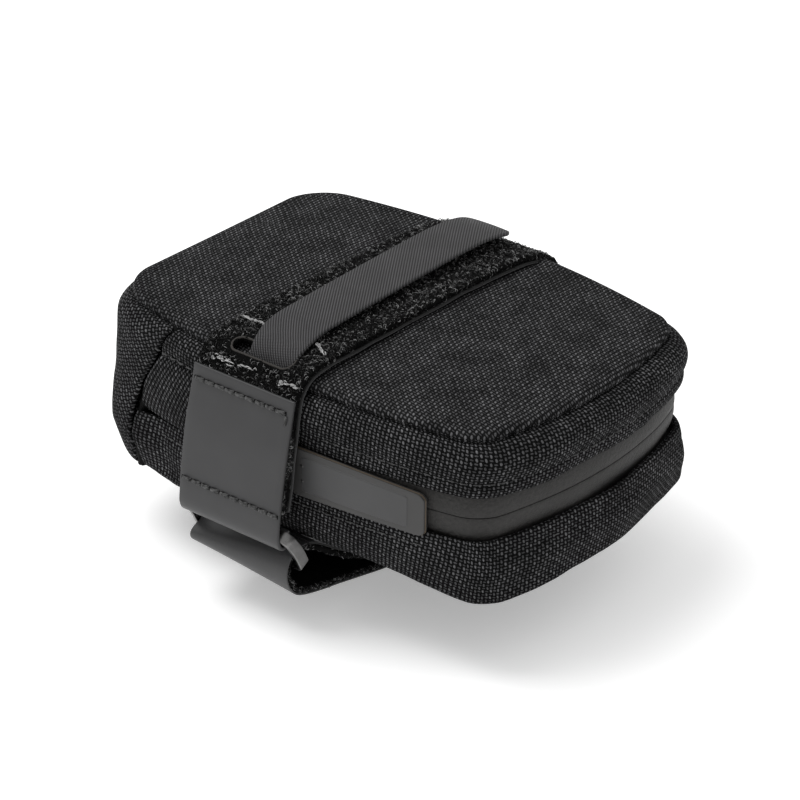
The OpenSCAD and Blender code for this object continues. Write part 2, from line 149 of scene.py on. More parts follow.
class Shader:
    """A material whose node tree is written one short call at a time."""

    def __init__(self, name, **values):
        self.material = bpy.data.materials.new(name)
        self.material.use_nodes = True
        self.tree = self.material.node_tree
        self.tree.nodes.clear()
        self.bsdf = self.node("ShaderNodeBsdfPrincipled",
                              {socket.replace("_", " "): value for socket, value in values.items()})
        output = self.node("ShaderNodeOutputMaterial")
        self.tree.links.new(self.bsdf.outputs[0], output.inputs[0])

    def node(self, kind, inputs=None, **settings):
        """A new node with its settings, and its inputs fed by name or by number."""
        node = self.tree.nodes.new(kind)
        for name, value in settings.items():
            setattr(node, name, value)
        for key, value in (inputs or {}).items():
            self.feed(node.inputs[key], value)
        return node

    def feed(self, socket, value):
        if isinstance(value, Value):
            self.tree.links.new(value.socket, socket)
        else:
            socket.default_value = value

    def set(self, name, value):
        self.feed(self.bsdf.inputs[name], value)

    def math(self, operation, *values, clamp=False):
        node = self.node("ShaderNodeMath", dict(enumerate(values)), operation=operation, use_clamp=clamp)
        return Value(self, node.outputs[0])

    def place(self, source="uv"):
        """Where the point is in millimetres: along the cloth for "uv", or in space for "object"."""
        where = self.node("ShaderNodeTexCoord").outputs["UV" if source == "uv" else "Object"]
        split = self.node("ShaderNodeSeparateXYZ", {0: Value(self, where)})
        return [Value(self, out) * (1 if source == "uv" else 1 / MM) for out in split.outputs]

    def vector(self, x, y, z):
        return Value(self, self.node("ShaderNodeCombineXYZ", {0: x, 1: y, 2: z}).outputs[0])

    def noise(self, where, scale, detail=3.0, rough=0.55):
        inputs = {"Vector": where, "Scale": scale, "Detail": detail, "Roughness": rough}
        return Value(self, self.node("ShaderNodeTexNoise", inputs).outputs["Fac"])

    def speck(self, where):
        """One random value for each whole-number cell."""
        node = self.node("ShaderNodeTexWhiteNoise", {"Vector": where}, noise_dimensions="3D")
        return Value(self, node.outputs["Value"])

    def ramp(self, value, low, high, out_low=0.0, out_high=1.0):
        """A smooth step from out_low to out_high as value goes from low to high."""
        inputs = {"Value": value, "From Min": low, "From Max": high, "To Min": out_low, "To Max": out_high}
        node = self.node("ShaderNodeMapRange", inputs, interpolation_type="SMOOTHSTEP")
        return Value(self, node.outputs["Result"])

    def vary(self, noise, low, high):
        """A noise, which keeps to 0.3..0.7, stretched to low..high."""
        return self.ramp(noise, 0.3, 0.7, low, high)

    def wave(self, phase, low=-1.0, high=1.0):
        return self.ramp(self.math("SINE", phase), low, high)

    def mix(self, factor, a, b):
        a, b = (tuple(c) + (1,) if isinstance(c, tuple) else c for c in (a, b))
        node = self.node("ShaderNodeMix", {"Factor": factor, 6: a, 7: b}, data_type="RGBA")
        return Value(self, node.outputs[2])

    def shaded(self, colour, shade):
        """The base colour, made darker or lighter by shade."""
        node = self.node("ShaderNodeVectorMath", {0: colour, "Scale": shade}, operation="SCALE")
        self.set("Base Color", Value(self, node.outputs[0]))

    def bump(self, height, distance, strength=1.0):
        """A bump of height 0..1, with distance in millimetres."""
        inputs = {"Strength": strength, "Distance": distance * MM, "Height": height}
        self.set("Normal", Value(self, self.node("ShaderNodeBump", inputs).outputs[0]))


def grey(level, warm=0.0):
    """A near-neutral colour. Positive warm leans to brown, negative to blue."""
    return (level * (1 + max(warm, 0)), level, level * (1 - warm))


# The shell's weave: size of a cell, half width and half length of its floats as shares of a cell
WEAVE_PITCH = (1.163, 0.93)
UPRIGHT_FLOAT, LYING_FLOAT = (0.36, 0.62), (0.31, 0.54)
CLOTH_TINT = -0.03


def weave(name, light, dark, gap, lean=0.0, turn=0.0):
    """Coarse plain weave: light upright floats, darker level floats and deep gaps between them."""
    n = Shader(name, Specular_IOR_Level=0.04)
    x, y, z = n.place()
    if turn:
        c, t = math.cos(math.radians(turn)), math.sin(math.radians(turn))
        x, y = x * c + y * -t, x * t + y * c
    drift = n.noise(n.vector(x, y, z), 0.05, 2)
    across = (x + drift * 1.5 - y * lean) / WEAVE_PITCH[0]
    along = (y + drift * 1.5) / WEAVE_PITCH[1]
    i, j = n.math("FLOOR", across), n.math("FLOOR", along)
    level = n.math("MODULO", abs(i + j), 2.0)
    tint, slip = n.speck(n.vector(i, j, 0.0)), n.speck(n.vector(j, i, 7.0))
    fx = across - i - 0.5 - (slip - 0.5) * 0.16
    fy = along - j - 0.5 - (tint - 0.5) * 0.12
    fx, fy = fx + fy * 0.16, fy + fx * 0.10

    def float_shape(a, b, half_a, half_b):
        """1 along the middle of a float, falling to 0 round its edge."""
        return n.math("SUBTRACT", 1.0, (abs(a) / half_a) ** 2.0 + (abs(b) / half_b) ** 2.0, clamp=True)

    upright = float_shape(fx, fy, *UPRIGHT_FLOAT) * (1.0 - level)
    lying = float_shape(fy, fx, *LYING_FLOAT) * level
    strands = n.noise(n.vector(x, y * 0.35, z), 7.0, 2)
    blotch = n.noise(n.vector(x, y, z), 0.09, 4, 0.6)
    lit = n.ramp(tint, 0.0, 1.0, 0.7, 1.25) * n.vary(strands, 0.55, 1.3) * n.ramp(blotch, 0.3, 0.72, 0.7, 1.3)
    bright = n.mix(n.ramp(upright, 0.12, 0.8), grey(gap, CLOTH_TINT), grey(light, CLOTH_TINT))
    n.shaded(n.mix(n.ramp(lying, 0.15, 0.8), bright, grey(dark, CLOTH_TINT)), lit)
    height = n.math("MAXIMUM", n.math("SQRT", upright), n.math("SQRT", lying) * 0.72)
    n.bump(height + strands * 0.12, 0.40)
    n.set("Roughness", n.vary(strands, 0.74, 0.9))
    return n.material


def coated(name, level, warm=0.0, grain=1.6, depth=0.035, rough=(0.42, 0.55), gloss=0.4, speckle=0.1,
           source="uv"):
    """Smooth coated cloth or rubber with a fine leathery grain and faint clouding."""
    n = Shader(name, Specular_IOR_Level=gloss)
    where = n.vector(*n.place(source))
    fine, cloud = n.noise(where, grain, 5, 0.65), n.noise(where, 0.07, 3)
    n.shaded(grey(level, warm), n.vary(fine, 1 - speckle, 1 + speckle) * n.vary(cloud, 0.93, 1.07))
    n.set("Roughness", n.vary(fine, *rough))
    n.bump(fine, depth, 0.8)
    return n.material


def twill(name, level, dark, period, angle, depth):
    """Webbing: slanted ribs crossed by fine threads."""
    n = Shader(name, Roughness=0.68, Specular_IOR_Level=0.3, Sheen_Weight=0.06, Sheen_Roughness=0.4)
    x, y, z = n.place()
    turn = math.radians(angle)
    rib = n.wave((x * (math.cos(turn) / period) + y * (math.sin(turn) / period)) * (2 * math.pi), -0.8, 0.6)
    fine_threads = n.wave((x * -0.35 + y) * (2 * math.pi / 0.42))
    cloud, fine = n.noise(n.vector(x, y, z), 0.12, 4), n.noise(n.vector(x, y, z), 5.0, 3)
    shade = n.ramp(rib, 0.0, 1.0, dark, 1.15) * n.ramp(fine_threads, 0.0, 1.0, 0.5, 1.15)
    shade = shade * (n.vary(cloud, 0.88, 1.12) * n.vary(fine, 0.88, 1.12))
    n.shaded((level, level * 0.975, level * 1.02), shade)
    n.set("Roughness", n.vary(fine, 0.6, 0.78))
    n.bump(rib + fine_threads * 0.35, depth, 0.9)
    return n.material


def thread(name, low, high):
    """Yarn: its brightness changes along and between the strands, which carry fine ply lines."""
    n = Shader(name, Roughness=0.62, Specular_IOR_Level=0.3, Sheen_Weight=0.05)
    x, y, z = n.place()
    tone = n.noise(n.vector(x, y, z), 1.1, 3)
    n.set("Base Color", n.mix(n.ramp(tone, 0.32, 0.68), grey(low), grey(high)))
    n.set("Roughness", n.vary(tone, 0.5, 0.72))
    n.bump(n.wave((x + y * 1.6) * 7.0), 0.05, 0.7)
    return n.material


def pile_fibre_with_painted_glints(name, low, high):
    """Loops of pile, mostly near black with a few lighter ones at random: the black is the pile's own colour,
    the light loops are painted glints on curled fibres. The first cloth coordinate is a random number for
    each loop.
    """
    n = Shader(name, Roughness=0.5, Specular_IOR_Level=0.25)
    x, y, _ = n.place()
    # Painted glints: a few loops are mixed towards light grey, most stay near black.
    n.set("Base Color", n.mix(x ** 5.0, grey(low), grey(high)))
    n.set("Roughness", n.ramp(y, 0.0, 1.0, 0.42, 0.6))
    return n.material


def metal(name, level, rough):
    """Brushed metal, streaked along X."""
    n = Shader(name, Metallic=1.0)
    x, y, z = n.place("object")
    streaks = n.noise(n.vector(x * 0.3, y * 6.0, z * 6.0), 1.2, 4)
    cloud = n.noise(n.vector(x, y, z), 0.5, 3)
    n.shaded(grey(level, 0.01), n.vary(streaks, 0.85, 1.1) * n.vary(cloud, 0.9, 1.08))
    n.set("Roughness", n.vary(streaks, rough, rough + 0.16))
    n.bump(streaks, 0.02, 0.6)
    return n.material


MATERIALS = {
    "shell": weave("shell_weave", 0.101, 0.058, 0.004, lean=0.16),
    "garage": weave("garage_weave", 0.100, 0.059, 0.004, turn=28),
    "front": weave("front_weave", 0.098, 0.059, 0.004, turn=-24),
    "top": weave("top_weave", 0.105, 0.058, 0.008),
    "tape": coated("zip_tape", 0.0215, 0.045, 0.9, 0.42, rough=(0.5, 0.66), gloss=0.3, speckle=0.42),
    "back": coated("strap_back", 0.036, -0.03, rough=(0.42, 0.52)),
    "ply": coated("strap_ply", 0.020, rough=(0.5, 0.62), gloss=0.25),
    "patch": coated("patch_rubber", 0.0300, -0.035, 3.0, 0.012, rough=(0.4, 0.47), speckle=0.04),
    "pile": coated("strap_pile", 0.004, 0, 2.6, 0.5, rough=(0.8, 0.95), gloss=0.03, speckle=0.8),
    # The light end, 0.36, is painted glint on the black pile loops.
    "fibre": pile_fibre_with_painted_glints("strap_pile_loops_with_painted_glints", 0.002, 0.36),
    "webbing": twill("webbing", 0.062, 0.1, 0.68, 34.0, 0.18),
    "binding": coated("binding", 0.032, 0.08, 3.0, 0.14, rough=(0.6, 0.75), gloss=0.2, speckle=0.4),
    # Near-black: partly the welt's and piping's own colour, partly painted shade in the seam creases they sit
    # in; along the patch's stitches it is painted shadow only.
    "welt": coated("welt", 0.004, 0, 5.0, 0.08, rough=(0.7, 0.85), gloss=0.1),
    "dark_thread": thread("dark_thread", 0.006, 0.085),
    "shell_thread": thread("shell_thread", 0.02, 0.075),
    "pale_thread": thread("pale_thread", 0.16, 0.52),
    "puller_face": coated("puller_face", 0.045, -0.02, 4.0, 0.01, rough=(0.38, 0.46), speckle=0.05),
    "puller_rim": coated("puller_rim", 0.039, 0.015, 3.0, 0.02, speckle=0.07),
    "puller_edge": coated("puller_edge", 0.075, 0.3, 3.0, 0.05, rough=(0.5, 0.65), gloss=0.3),
    "ring": metal("ring_steel", 0.22, 0.27),
    "slider": metal("slider_metal", 0.08, 0.4),
    "lining": coated("lining", 0.04, 0, 2.2, 0.12, rough=(0.6, 0.8), gloss=0.2, speckle=0.2),
    "foam": coated("foam", 0.012, 0, 3.5, 0.3, rough=(0.8, 0.95), gloss=0.1, speckle=0.3),
    "stiffener": coated("stiffener", 0.010, 0, 0.8, 0.05, source="object"),
    "coil": coated("zip_coil", 0.008, 0, 3.0, 0.03, rough=(0.35, 0.5)),
    "hooks": coated("hook_tape", 0.007, 0, 3.2, 0.6, rough=(0.5, 0.7), gloss=0.2, speckle=0.5),
}


# ---- making meshes ----
def show(piece, slot, body, *nodes, fill=None):
    """Attach a piece to its body, or leave it unattached for a fold, and hide the CAD nodes it replaces. The
    slot and fill are not used.
    """
    if body in FOLDS:
        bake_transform(piece)
    else:
        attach(piece, body)
    if nodes:
        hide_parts(*nodes)


def place_mesh(name, mesh, material):
    """An object with a smooth-shaded mesh in one material."""
    mesh.polygons.foreach_set("use_smooth", [True] * len(mesh.polygons))
    mesh.materials.append(MATERIALS[material])
    made = bpy.data.objects.new(name, mesh)
    bpy.context.scene.collection.objects.link(made)
    return made


def cleaned(mesh, weld, dissolve):
    """Weld the mesh's close points, then run one of bmesh's dissolves on it."""
    tidy = bmesh.new()
    tidy.from_mesh(mesh)
    bmesh.ops.remove_doubles(tidy, verts=tidy.verts, dist=weld)
    dissolve(tidy)
    tidy.to_mesh(mesh)
    tidy.free()


def solid(name, points, faces, material, uv=None, weld=False):
    """A mesh object from points in millimetres, with the faces' unused points left out."""
    points = np.asarray(points, float).reshape(-1, 3)
    used = np.unique(np.concatenate([np.ravel(f) for f in faces]))
    renumber = np.zeros(len(points), int)
    renumber[used] = np.arange(len(used))
    mesh = bpy.data.meshes.new(name)
    placed = (points[used] - (0, 0, RAIL_Z)) * MM
    listed = [tuple(f) for group in faces for f in renumber[np.atleast_2d(group)].tolist()]
    mesh.from_pydata(placed.tolist(), [], listed)
    if uv is not None:
        layer = mesh.uv_layers.new(name="cloth")
        corner = np.zeros(len(mesh.loops), np.int32)
        mesh.loops.foreach_get("vertex_index", corner)
        layer.data.foreach_set("uv", np.asarray(uv, float).reshape(-1, 2)[used][corner].ravel())
    if weld:
        cleaned(mesh, 0.02 * MM, lambda m: bmesh.ops.dissolve_degenerate(m, edges=m.edges, dist=0.01 * MM))
    return place_mesh(name + "_look" if name in frame["nodes"] else name, mesh, material)


def sheet_faces(rows, cols, keep, wrap):
    """Faces of a closed sheet between two grids of points. keep says which cells are there."""
    cells = (rows - 1, cols if wrap else cols - 1)
    keep = np.ones(cells, bool) if keep is None else keep
    i, j = np.nonzero(keep)
    k = (j + 1) % cols
    a, b, c, d = i * cols + j, i * cols + k, (i + 1) * cols + k, (i + 1) * cols + j
    back = rows * cols
    faces = [np.stack([a, b, c, d], 1), np.stack([a, d, c, b], 1) + back]

    def missing(di, dj):
        ni, nj = i + di, j + dj
        if wrap:
            nj = nj % cells[1]
        outside = (ni < 0) | (ni >= cells[0]) | (nj < 0) | (nj >= cells[1])
        return outside | ~keep[np.clip(ni, 0, cells[0] - 1), np.clip(nj, 0, cells[1] - 1)]

    for (di, dj), (p, q) in (((-1, 0), (a, b)), ((0, 1), (b, c)), ((1, 0), (c, d)), ((0, -1), (d, a))):
        m = missing(di, dj)
        faces.append(np.stack([q[m], p[m], p[m] + back, q[m] + back], 1))
    return [f for f in faces if len(f)]


def two_sided(name, front, rear, uv, material, keep=None, wrap=False, weld=False):
    """A closed sheet between a front and a rear grid of points."""
    points = np.concatenate([front.reshape(-1, 3), rear.reshape(-1, 3)])
    faces = sheet_faces(*front.shape[:2], keep, wrap)
    return solid(name, points, faces, material, np.concatenate([uv.reshape(-1, 2)] * 2), weld)


def grid(*columns):
    """Coordinates of one kind each, spread to a common shape and set side by side."""
    return np.stack(np.broadcast_arrays(*columns), -1)


def spline(points, n=12):
    """A smooth line through the points."""
    p = np.asarray(points, float)
    p = np.concatenate([[2 * p[0] - p[1]], p, [2 * p[-1] - p[-2]]])
    t = np.arange(n)[:, None] / n
    parts = []
    for a, b, c, d in zip(p, p[1:], p[2:], p[3:]):
        parts.append(0.5 * (2 * b + (c - a) * t + (2 * a - 5 * b + 4 * c - d) * t**2
                            + (3 * b - a - 3 * c + d) * t**3))
    return np.concatenate(parts + [p[-2:-1]])


def unit(vectors):
    """The vectors, each made one long."""
    return vectors / np.linalg.norm(vectors, axis=-1)[..., None]


def lengths(line):
    """How far along the line each of its points is."""
    return np.concatenate([[0], np.cumsum(np.linalg.norm(np.diff(line, axis=0), axis=1))])


def at_lengths(line, wanted):
    """Points of a line at the given distances along it."""
    along = lengths(line)
    return np.stack([np.interp(wanted, along, line[:, k]) for k in range(line.shape[1])], 1)


def graded(total, step, rim):
    """Distances from 0 to total about a step apart, closer within rim of both ends."""
    edge = rim * np.array([0, 0.05, 0.2, 0.45, 0.75])
    inner = np.linspace(rim, total - rim, max(2, int(round((total - 2 * rim) / step)) + 1))
    return np.concatenate([edge, inner, total - edge[::-1]])


def rounding(along, rim):
    """Share of the full thickness at each distance, round within rim of both ends."""
    inside = np.clip(np.minimum(along, along[-1] - along) / rim, 0, 1)
    return np.sqrt(1 - 0.985 * (1 - inside) ** 2)


def rounded(rows, columns, rim, column_rim=None):
    """The same share over a grid, round at its rows' ends and at its columns' ends."""
    return rounding(rows, rim)[:, None] * rounding(columns, column_rim or rim)[None, :]


def waves(seed, shortest, longest):
    """A smooth random surface of about unit height, as a function of two lengths."""
    rng, count = np.random.default_rng(seed), 14
    size = rng.uniform(shortest, longest, count)
    turn, phase = rng.uniform(0, math.pi, count), rng.uniform(0, 2 * math.pi, count)

    def height(a, b):
        total = 0
        for w, t, p in zip(size, turn, phase):
            total = total + np.sin(2 * math.pi * (a * math.cos(t) + b * math.sin(t)) / w + p)
        return total / math.sqrt(count / 2)
    return height


def fine_rough(shape, seed, passes=1):
    """A rough surface on a grid: random heights blurred a little, about -1 to 1."""
    h = np.random.default_rng(seed).uniform(-1, 1, shape)
    for _ in range(passes):
        h = (h + np.roll(h, 1, 0) + np.roll(h, -1, 0) + np.roll(h, 1, 1) + np.roll(h, -1, 1)) / 5
    return h / max(np.abs(h).max(), 1e-9)


def step(value, low, high):
    """A smooth step from 0 to 1."""
    t = np.clip((value - low) / (high - low), 0, 1)
    return t * t * (3 - 2 * t)


# ---- plan outline of the bag ----
def widen(x, w):
    """How much wider than w the bag is at x, for its bowed and tapering sides."""
    return 1 + 2 * BOW_SIDE / w * (1 - (2 * x / BAG_L) ** 2) - PLAN_TAPER * (0.5 - x / BAG_L)


def plan_point(inset, u, sharper=0.0):
    """The bag's outline, with u from 0 at the middle of the front end, by the near side, to 9."""
    inset, u = np.broadcast_arrays(np.asarray(inset, float), np.asarray(u, float))
    hx, hy = BAG_L / 2 - inset, BAG_W / 2 - inset
    rf = np.maximum(CORNER_FRONT - 0.6 * inset, 1)
    rr = np.maximum(CORNER_REAR - sharper - 0.3 * inset, 1)
    k = np.clip(np.floor(u), 0, 8).astype(int)
    t = u - k

    def arc(cx, cy, r, start):
        a = np.radians(start + 90 * t)
        return cx + r * np.cos(a), cy + r * np.sin(a)

    run = 2 * hx - rf - rr
    legs = [(-hx + 0 * t, -(hy - rf) * t), arc(rf - hx, rf - hy, rf, 180), (rf - hx + run * t, -hy + 0 * t),
            arc(hx - rr, rr - hy, rr, 270), (hx + 0 * t, (hy - rr) * (2 * t - 1)),
            arc(hx - rr, hy - rr, rr, 0), (hx - rr - run * t, hy + 0 * t),
            arc(rf - hx, hy - rf, rf, 90), (-hx + 0 * t, (hy - rf) * (1 - t))]
    x, y = (np.choose(k, [leg[axis] for leg in legs]) for axis in (0, 1))
    rear = np.where(x > 0, BOW_REAR * (1 - (y / hy) ** 2) * (2 * x / BAG_L) ** 3, 0)
    return x + BAG_MID + rear, y * widen(x, 2 * hy)


U_STEPS = np.linspace(0, 9, 9001)
X_STEPS, Y_STEPS = plan_point(0, U_STEPS)
S_STEPS = lengths(np.stack([X_STEPS, Y_STEPS], 1))
PERIMETER = S_STEPS[-1]
NEAR = (U_STEPS > 1) & (U_STEPS < 3.6)


def near_s(x):
    """Distance round the bag from the middle of its front to a place on the near side."""
    return np.interp(x, X_STEPS[NEAR], S_STEPS[NEAR])


def far_s(x):
    """The same distance to a place on the far side."""
    return PERIMETER - near_s(x)


def side_y(x):
    """How far the bag's side is from its middle plane."""
    return BAG_W / 2 * widen(x - BAG_MID, BAG_W)


def lifted(x, y, z):
    """Points whose heights follow the bag's sloping top."""
    return np.stack([x, y, z * (1 - TOP_SLOPE * x)], -1)


def on_shell(inset, z, s, sharper=0.0):
    """Points inset from the bag's outline, at height z and distance s round the bag."""
    x, y = plan_point(inset, np.interp(s % PERIMETER, S_STEPS, U_STEPS), sharper)
    return lifted(x, y, z + 0 * x)


# ---- panels carried round the bag ----
SEAM_GAP = 0.55
STITCH_PITCH = 3.2
LOW_STITCH, HIGH_STITCH, FRONT_STITCH = 12.0, 32.6, 35.6
REAR_CORNER_X = 66.0


def front_x(z):
    """The front seam leans forwards from the top down."""
    return np.interp(z, [0, 12, 18.5, 25.4, 32.2, 39.8, 46],
                     [-45.5, -44.6, -43.1, -40.6, -36.8, -33.4, -29.7])


def behind(x):
    """From x on the near side, round the rear, to x on the far side."""
    return lambda z: (near_s(x) + 0 * z, far_s(x) + 0 * z)


def behind_seam(z):
    """From the near front seam, round the rear, to the far one."""
    return near_s(front_x(z)) + SEAM_GAP, far_s(front_x(z)) - SEAM_GAP


def before_seam(z):
    """From the far front seam, round the front, to the near one."""
    return far_s(front_x(z)) + SEAM_GAP, PERIMETER + near_s(front_x(z)) - SEAM_GAP


def seam_to(x, side):
    """From the front seam to x, on one side of the bag."""
    if side == "near":
        return lambda z: (near_s(front_x(z)) + SEAM_GAP, near_s(x) + 0 * z)
    return lambda z: (far_s(x) + 0 * z, far_s(front_x(z)) - SEAM_GAP)


def panel(name, profile, thick, span, material, relief=None, pitch=1.1, row_step=0.8, rim=0.8,
          sharper=0.0, sag=None, uv_shift=(0, 0)):
    """A sewn panel: a profile of [inset, height] carried round the bag between two places."""
    line = spline(profile, 8)
    along = graded(lengths(line)[-1], row_step, rim)
    line = at_lengths(line, along)
    d = unit(np.gradient(line, axis=0))
    start, end = span(line[:, 1])
    reach = float(np.max(end - start))
    columns = graded(reach, pitch, rim)
    s = start[:, None] + (end - start)[:, None] * (columns / reach)[None, :]
    half = thick / 2 * rounded(along, columns, rim)
    height = line[:, 1][:, None]
    raised = 0 if relief is None else relief(s, height)
    sides = []
    for shift in (half - thick / 2, -half - thick / 2):
        inset = line[:, 0][:, None] - d[:, 1][:, None] * shift - raised
        z = height + d[:, 0][:, None] * shift
        if sag is not None:
            z = z - sag(s, height)
        sides.append(on_shell(inset, z, s, sharper))
    uv = grid(s + uv_shift[0], along[:, None] + uv_shift[1])
    return two_sided(name, *sides, uv, material)


def pucker(s, z, where, depth):
    """Cloth drawn in along a row of stitches, deepest between the needle holes."""
    wave = 0.65 + 0.35 * np.cos(2 * math.pi * s / STITCH_PITCH)
    drawn_in, beside = np.exp(-((z - where) / 0.55) ** 2), np.exp(-((z - where) / 2.2) ** 2)
    return -depth * wave * drawn_in + 0.3 * depth * beside


def cloth_relief(seed, size, stitch_row=None, depth=0.0, push=None):
    """Slow unevenness of the cloth, with puckers along its row of stitches and a push outwards."""
    slow, quick = waves(seed, 22, 60), waves(seed + 1, 7, 15)

    def relief(s, z):
        total = size * slow(s, z) + 0.3 * size * quick(s, z)
        if stitch_row is not None:
            total = total + pucker(s, z, stitch_row, depth)
        return total if push is None else total + push(s, z)
    return relief


def away_from_strap(s):
    """0 under the strap, 1 in front of it and at the rear corners."""
    x = np.interp(s, S_STEPS, X_STEPS)
    return step(-x, 16, 32) + step(x, 28, 62)


def low_push(s, z):
    """The bag's lower edge is nearly square, and fullest at the rear and at the two front corners."""
    s = s % PERIMETER
    from_front = np.minimum(s, PERIMETER - s)
    corner = near_s(REAR_CORNER_X)
    rear = step(from_front, corner - 30, corner + 4)
    front = 1 - step(from_front, near_s(-44.0), near_s(-34.0))
    y = np.interp(s, S_STEPS, Y_STEPS)
    flatter = (1 - 0.5 * front) * (1 - 0.3 * step(y, -35, 15) * rear)
    squarer = 3.7 * np.exp(-(np.maximum(z, 0) / 2.0) ** 1.2) * away_from_strap(s) * flatter
    rear = rear * (1 - 0.35 * step(y, -36, 0) * (1 - step(y, 18, 40)))
    fuller = 1.9 * rear * np.clip(1 - np.abs(z - 2) / 15, 0, 1)
    fuller = fuller + front * (1.6 * np.clip(1 - np.abs(z - 9) / 12, 0, 1) + 1.7 * (1 - step(z, 37.5, 42.5)))
    return squarer + fuller


def low_sag(s, z):
    """How far the bag's lower edge hangs down."""
    x = np.interp(s % PERIMETER, S_STEPS, X_STEPS)
    return (1.3 * step(-x, 16, 32) + 0.7 * step(x, 44, 66)) * np.clip(1 - z / 14, 0, 1) ** 2


def high_push(s, z):
    """The upper rear corners are full above the hem."""
    s = s % PERIMETER
    here = np.exp(-((np.minimum(s, PERIMETER - s) - near_s(REAR_CORNER_X)) / 11) ** 2)
    return 0.35 * here * step(z, 27, 31) * (1 - step(z, 38, 42.5))


def shell_panel(name, profile, span, cloth, relief, body, *nodes, **more):
    """A panel of the shell's woven cloth, with its foam."""
    made = panel(name, profile, SHELL_T, span, cloth, relief, **more)
    show(made, "shell_weave", body, *nodes, fill=SHELL_FILL)


def make_shell():
    low = [[6.2, 0.1], [4.6, 0.0], [3.2, 0.45], [1.9, 1.7], [0.7, 4.0], [-0.2, 7.2], [-0.35, 10.0],
           [-0.25, 12.0], [-0.25, 13.4], [-0.1, 15.0], [0.15, 16.0], [0.55, 16.3]]
    high = [[0.75, 28.05], [0.3, 28.15], [0.0, 28.6], [-0.3, 30.2], [-0.35, 31.8], [-0.3, 32.6], [-0.5, 33.4],
            [-1.0, 35.0], [-1.25, 36.8], [-1.05, 38.8], [-0.4, 40.4], [0.6, 41.6], [1.9, 42.2], [3.6, 42.2]]
    high_front = [[0.0, 34.0], [-0.35, 35.0], [-0.6, 36.4], [-0.85, 38.0], [-0.5, 40.0], [0.6, 41.5],
                  [1.9, 42.2], [3.6, 42.2]]
    front = [[6.2, 0.1], [4.6, 0.0], [2.6, 0.9], [0.9, 3.4], [-0.1, 9.0], [-0.6, 16.0], [-0.8, 24.0],
             [-0.6, 33.0], [-0.2, 38.5], [0.7, 41.4], [1.9, 42.2], [3.6, 42.2]]
    garage = [[0.5, 16.2], [-0.7, 16.9], [-1.6, 18.9], [-2.0, 22.5], [-2.0, 26.0], [-1.7, 30.0], [-1.0, 33.2],
              [0.0, 34.6], [0.5, 34.8]]
    sides = ("near", "far")

    shell_panel("lower_sidewall", low, behind_seam, "shell",
                cloth_relief(3, 0.20, LOW_STITCH, 0.22, low_push),
                "root", "lower_sidewall", sharper=1.5, sag=low_sag)
    shell_panel("upper_sidewall", high, behind(-3.0), "shell",
                cloth_relief(11, 0.22, HIGH_STITCH, 0.24, high_push),
                "lid_fold", "upper_sidewall_rear", uv_shift=(0.4, 0.3))
    for side, nodes in zip(sides, (("upper_sidewall_front",), ())):
        shell_panel("upper_sidewall_front_" + side, high_front, seam_to(-2.0, side), "shell",
                    cloth_relief(17, 0.16, FRONT_STITCH, 0.2), "root", *nodes)
    shell_panel("front_panel", front, before_seam, "front", cloth_relief(23, 0.25, push=low_push),
                "root", "front_panel", sag=low_sag)
    for side in sides:
        name = "garage_panel_" + side
        shell_panel(name, garage, seam_to(2.0, side), "garage", cloth_relief(29, 0.18), "root", name)


# ---- top and bottom ----
SPINE = (-22.0, 34.0)


def wide_sheet(name, inset, edge, interior, thick, material, relief, columns=400, rows=28):
    """A level panel: an edge profile of [inwards, height], then rings that close on a spine."""
    u = np.interp(np.linspace(0, PERIMETER, columns, endpoint=False), S_STEPS, U_STEPS)
    ex, ey = plan_point(inset, u)
    cx, cy = np.clip(ex, *SPINE), 0 * ey
    depth = np.hypot(ex - cx, ey - cy)
    line = spline(edge, 8)
    line = at_lengths(line, graded(lengths(line)[-1], 0.5, 0.5))
    rim, last = len(line), line[-1, 0]
    inward = np.concatenate([np.broadcast_to(line[:, :1], (rim, columns)),
                             last + (depth - last)[None, :] * np.linspace(0, 1, rows)[1:, None]])
    z = np.concatenate([np.broadcast_to(line[:, 1:], (rim, columns)), interior(inward[rim:])])
    share = inward / depth
    x, y = ex + (cx - ex) * share, ey + (cy - ey) * share
    z = z + relief(x, y) * np.clip(inward / 4, 0, 1)
    along = inward[:, 0]
    half = thick / 2 * rounding(np.concatenate([along + 0.02 * np.arange(len(along)), [1e3]]), 0.6)[:-1, None]
    front = lifted(x, y, z - thick / 2 + half)
    rear = lifted(x + (cx - ex) / depth * 0.3, y + (cy - ey) / depth * 0.3, z - thick / 2 - half)
    unrolled = inward.copy()
    unrolled[:rim] = (last - lengths(line)[-1] + lengths(line))[:, None]
    uv = np.stack([ex + (cx - ex) * unrolled / depth, ey + (cy - ey) * unrolled / depth], -1)
    return two_sided(name, front, rear, uv, material, wrap=True, weld=True)


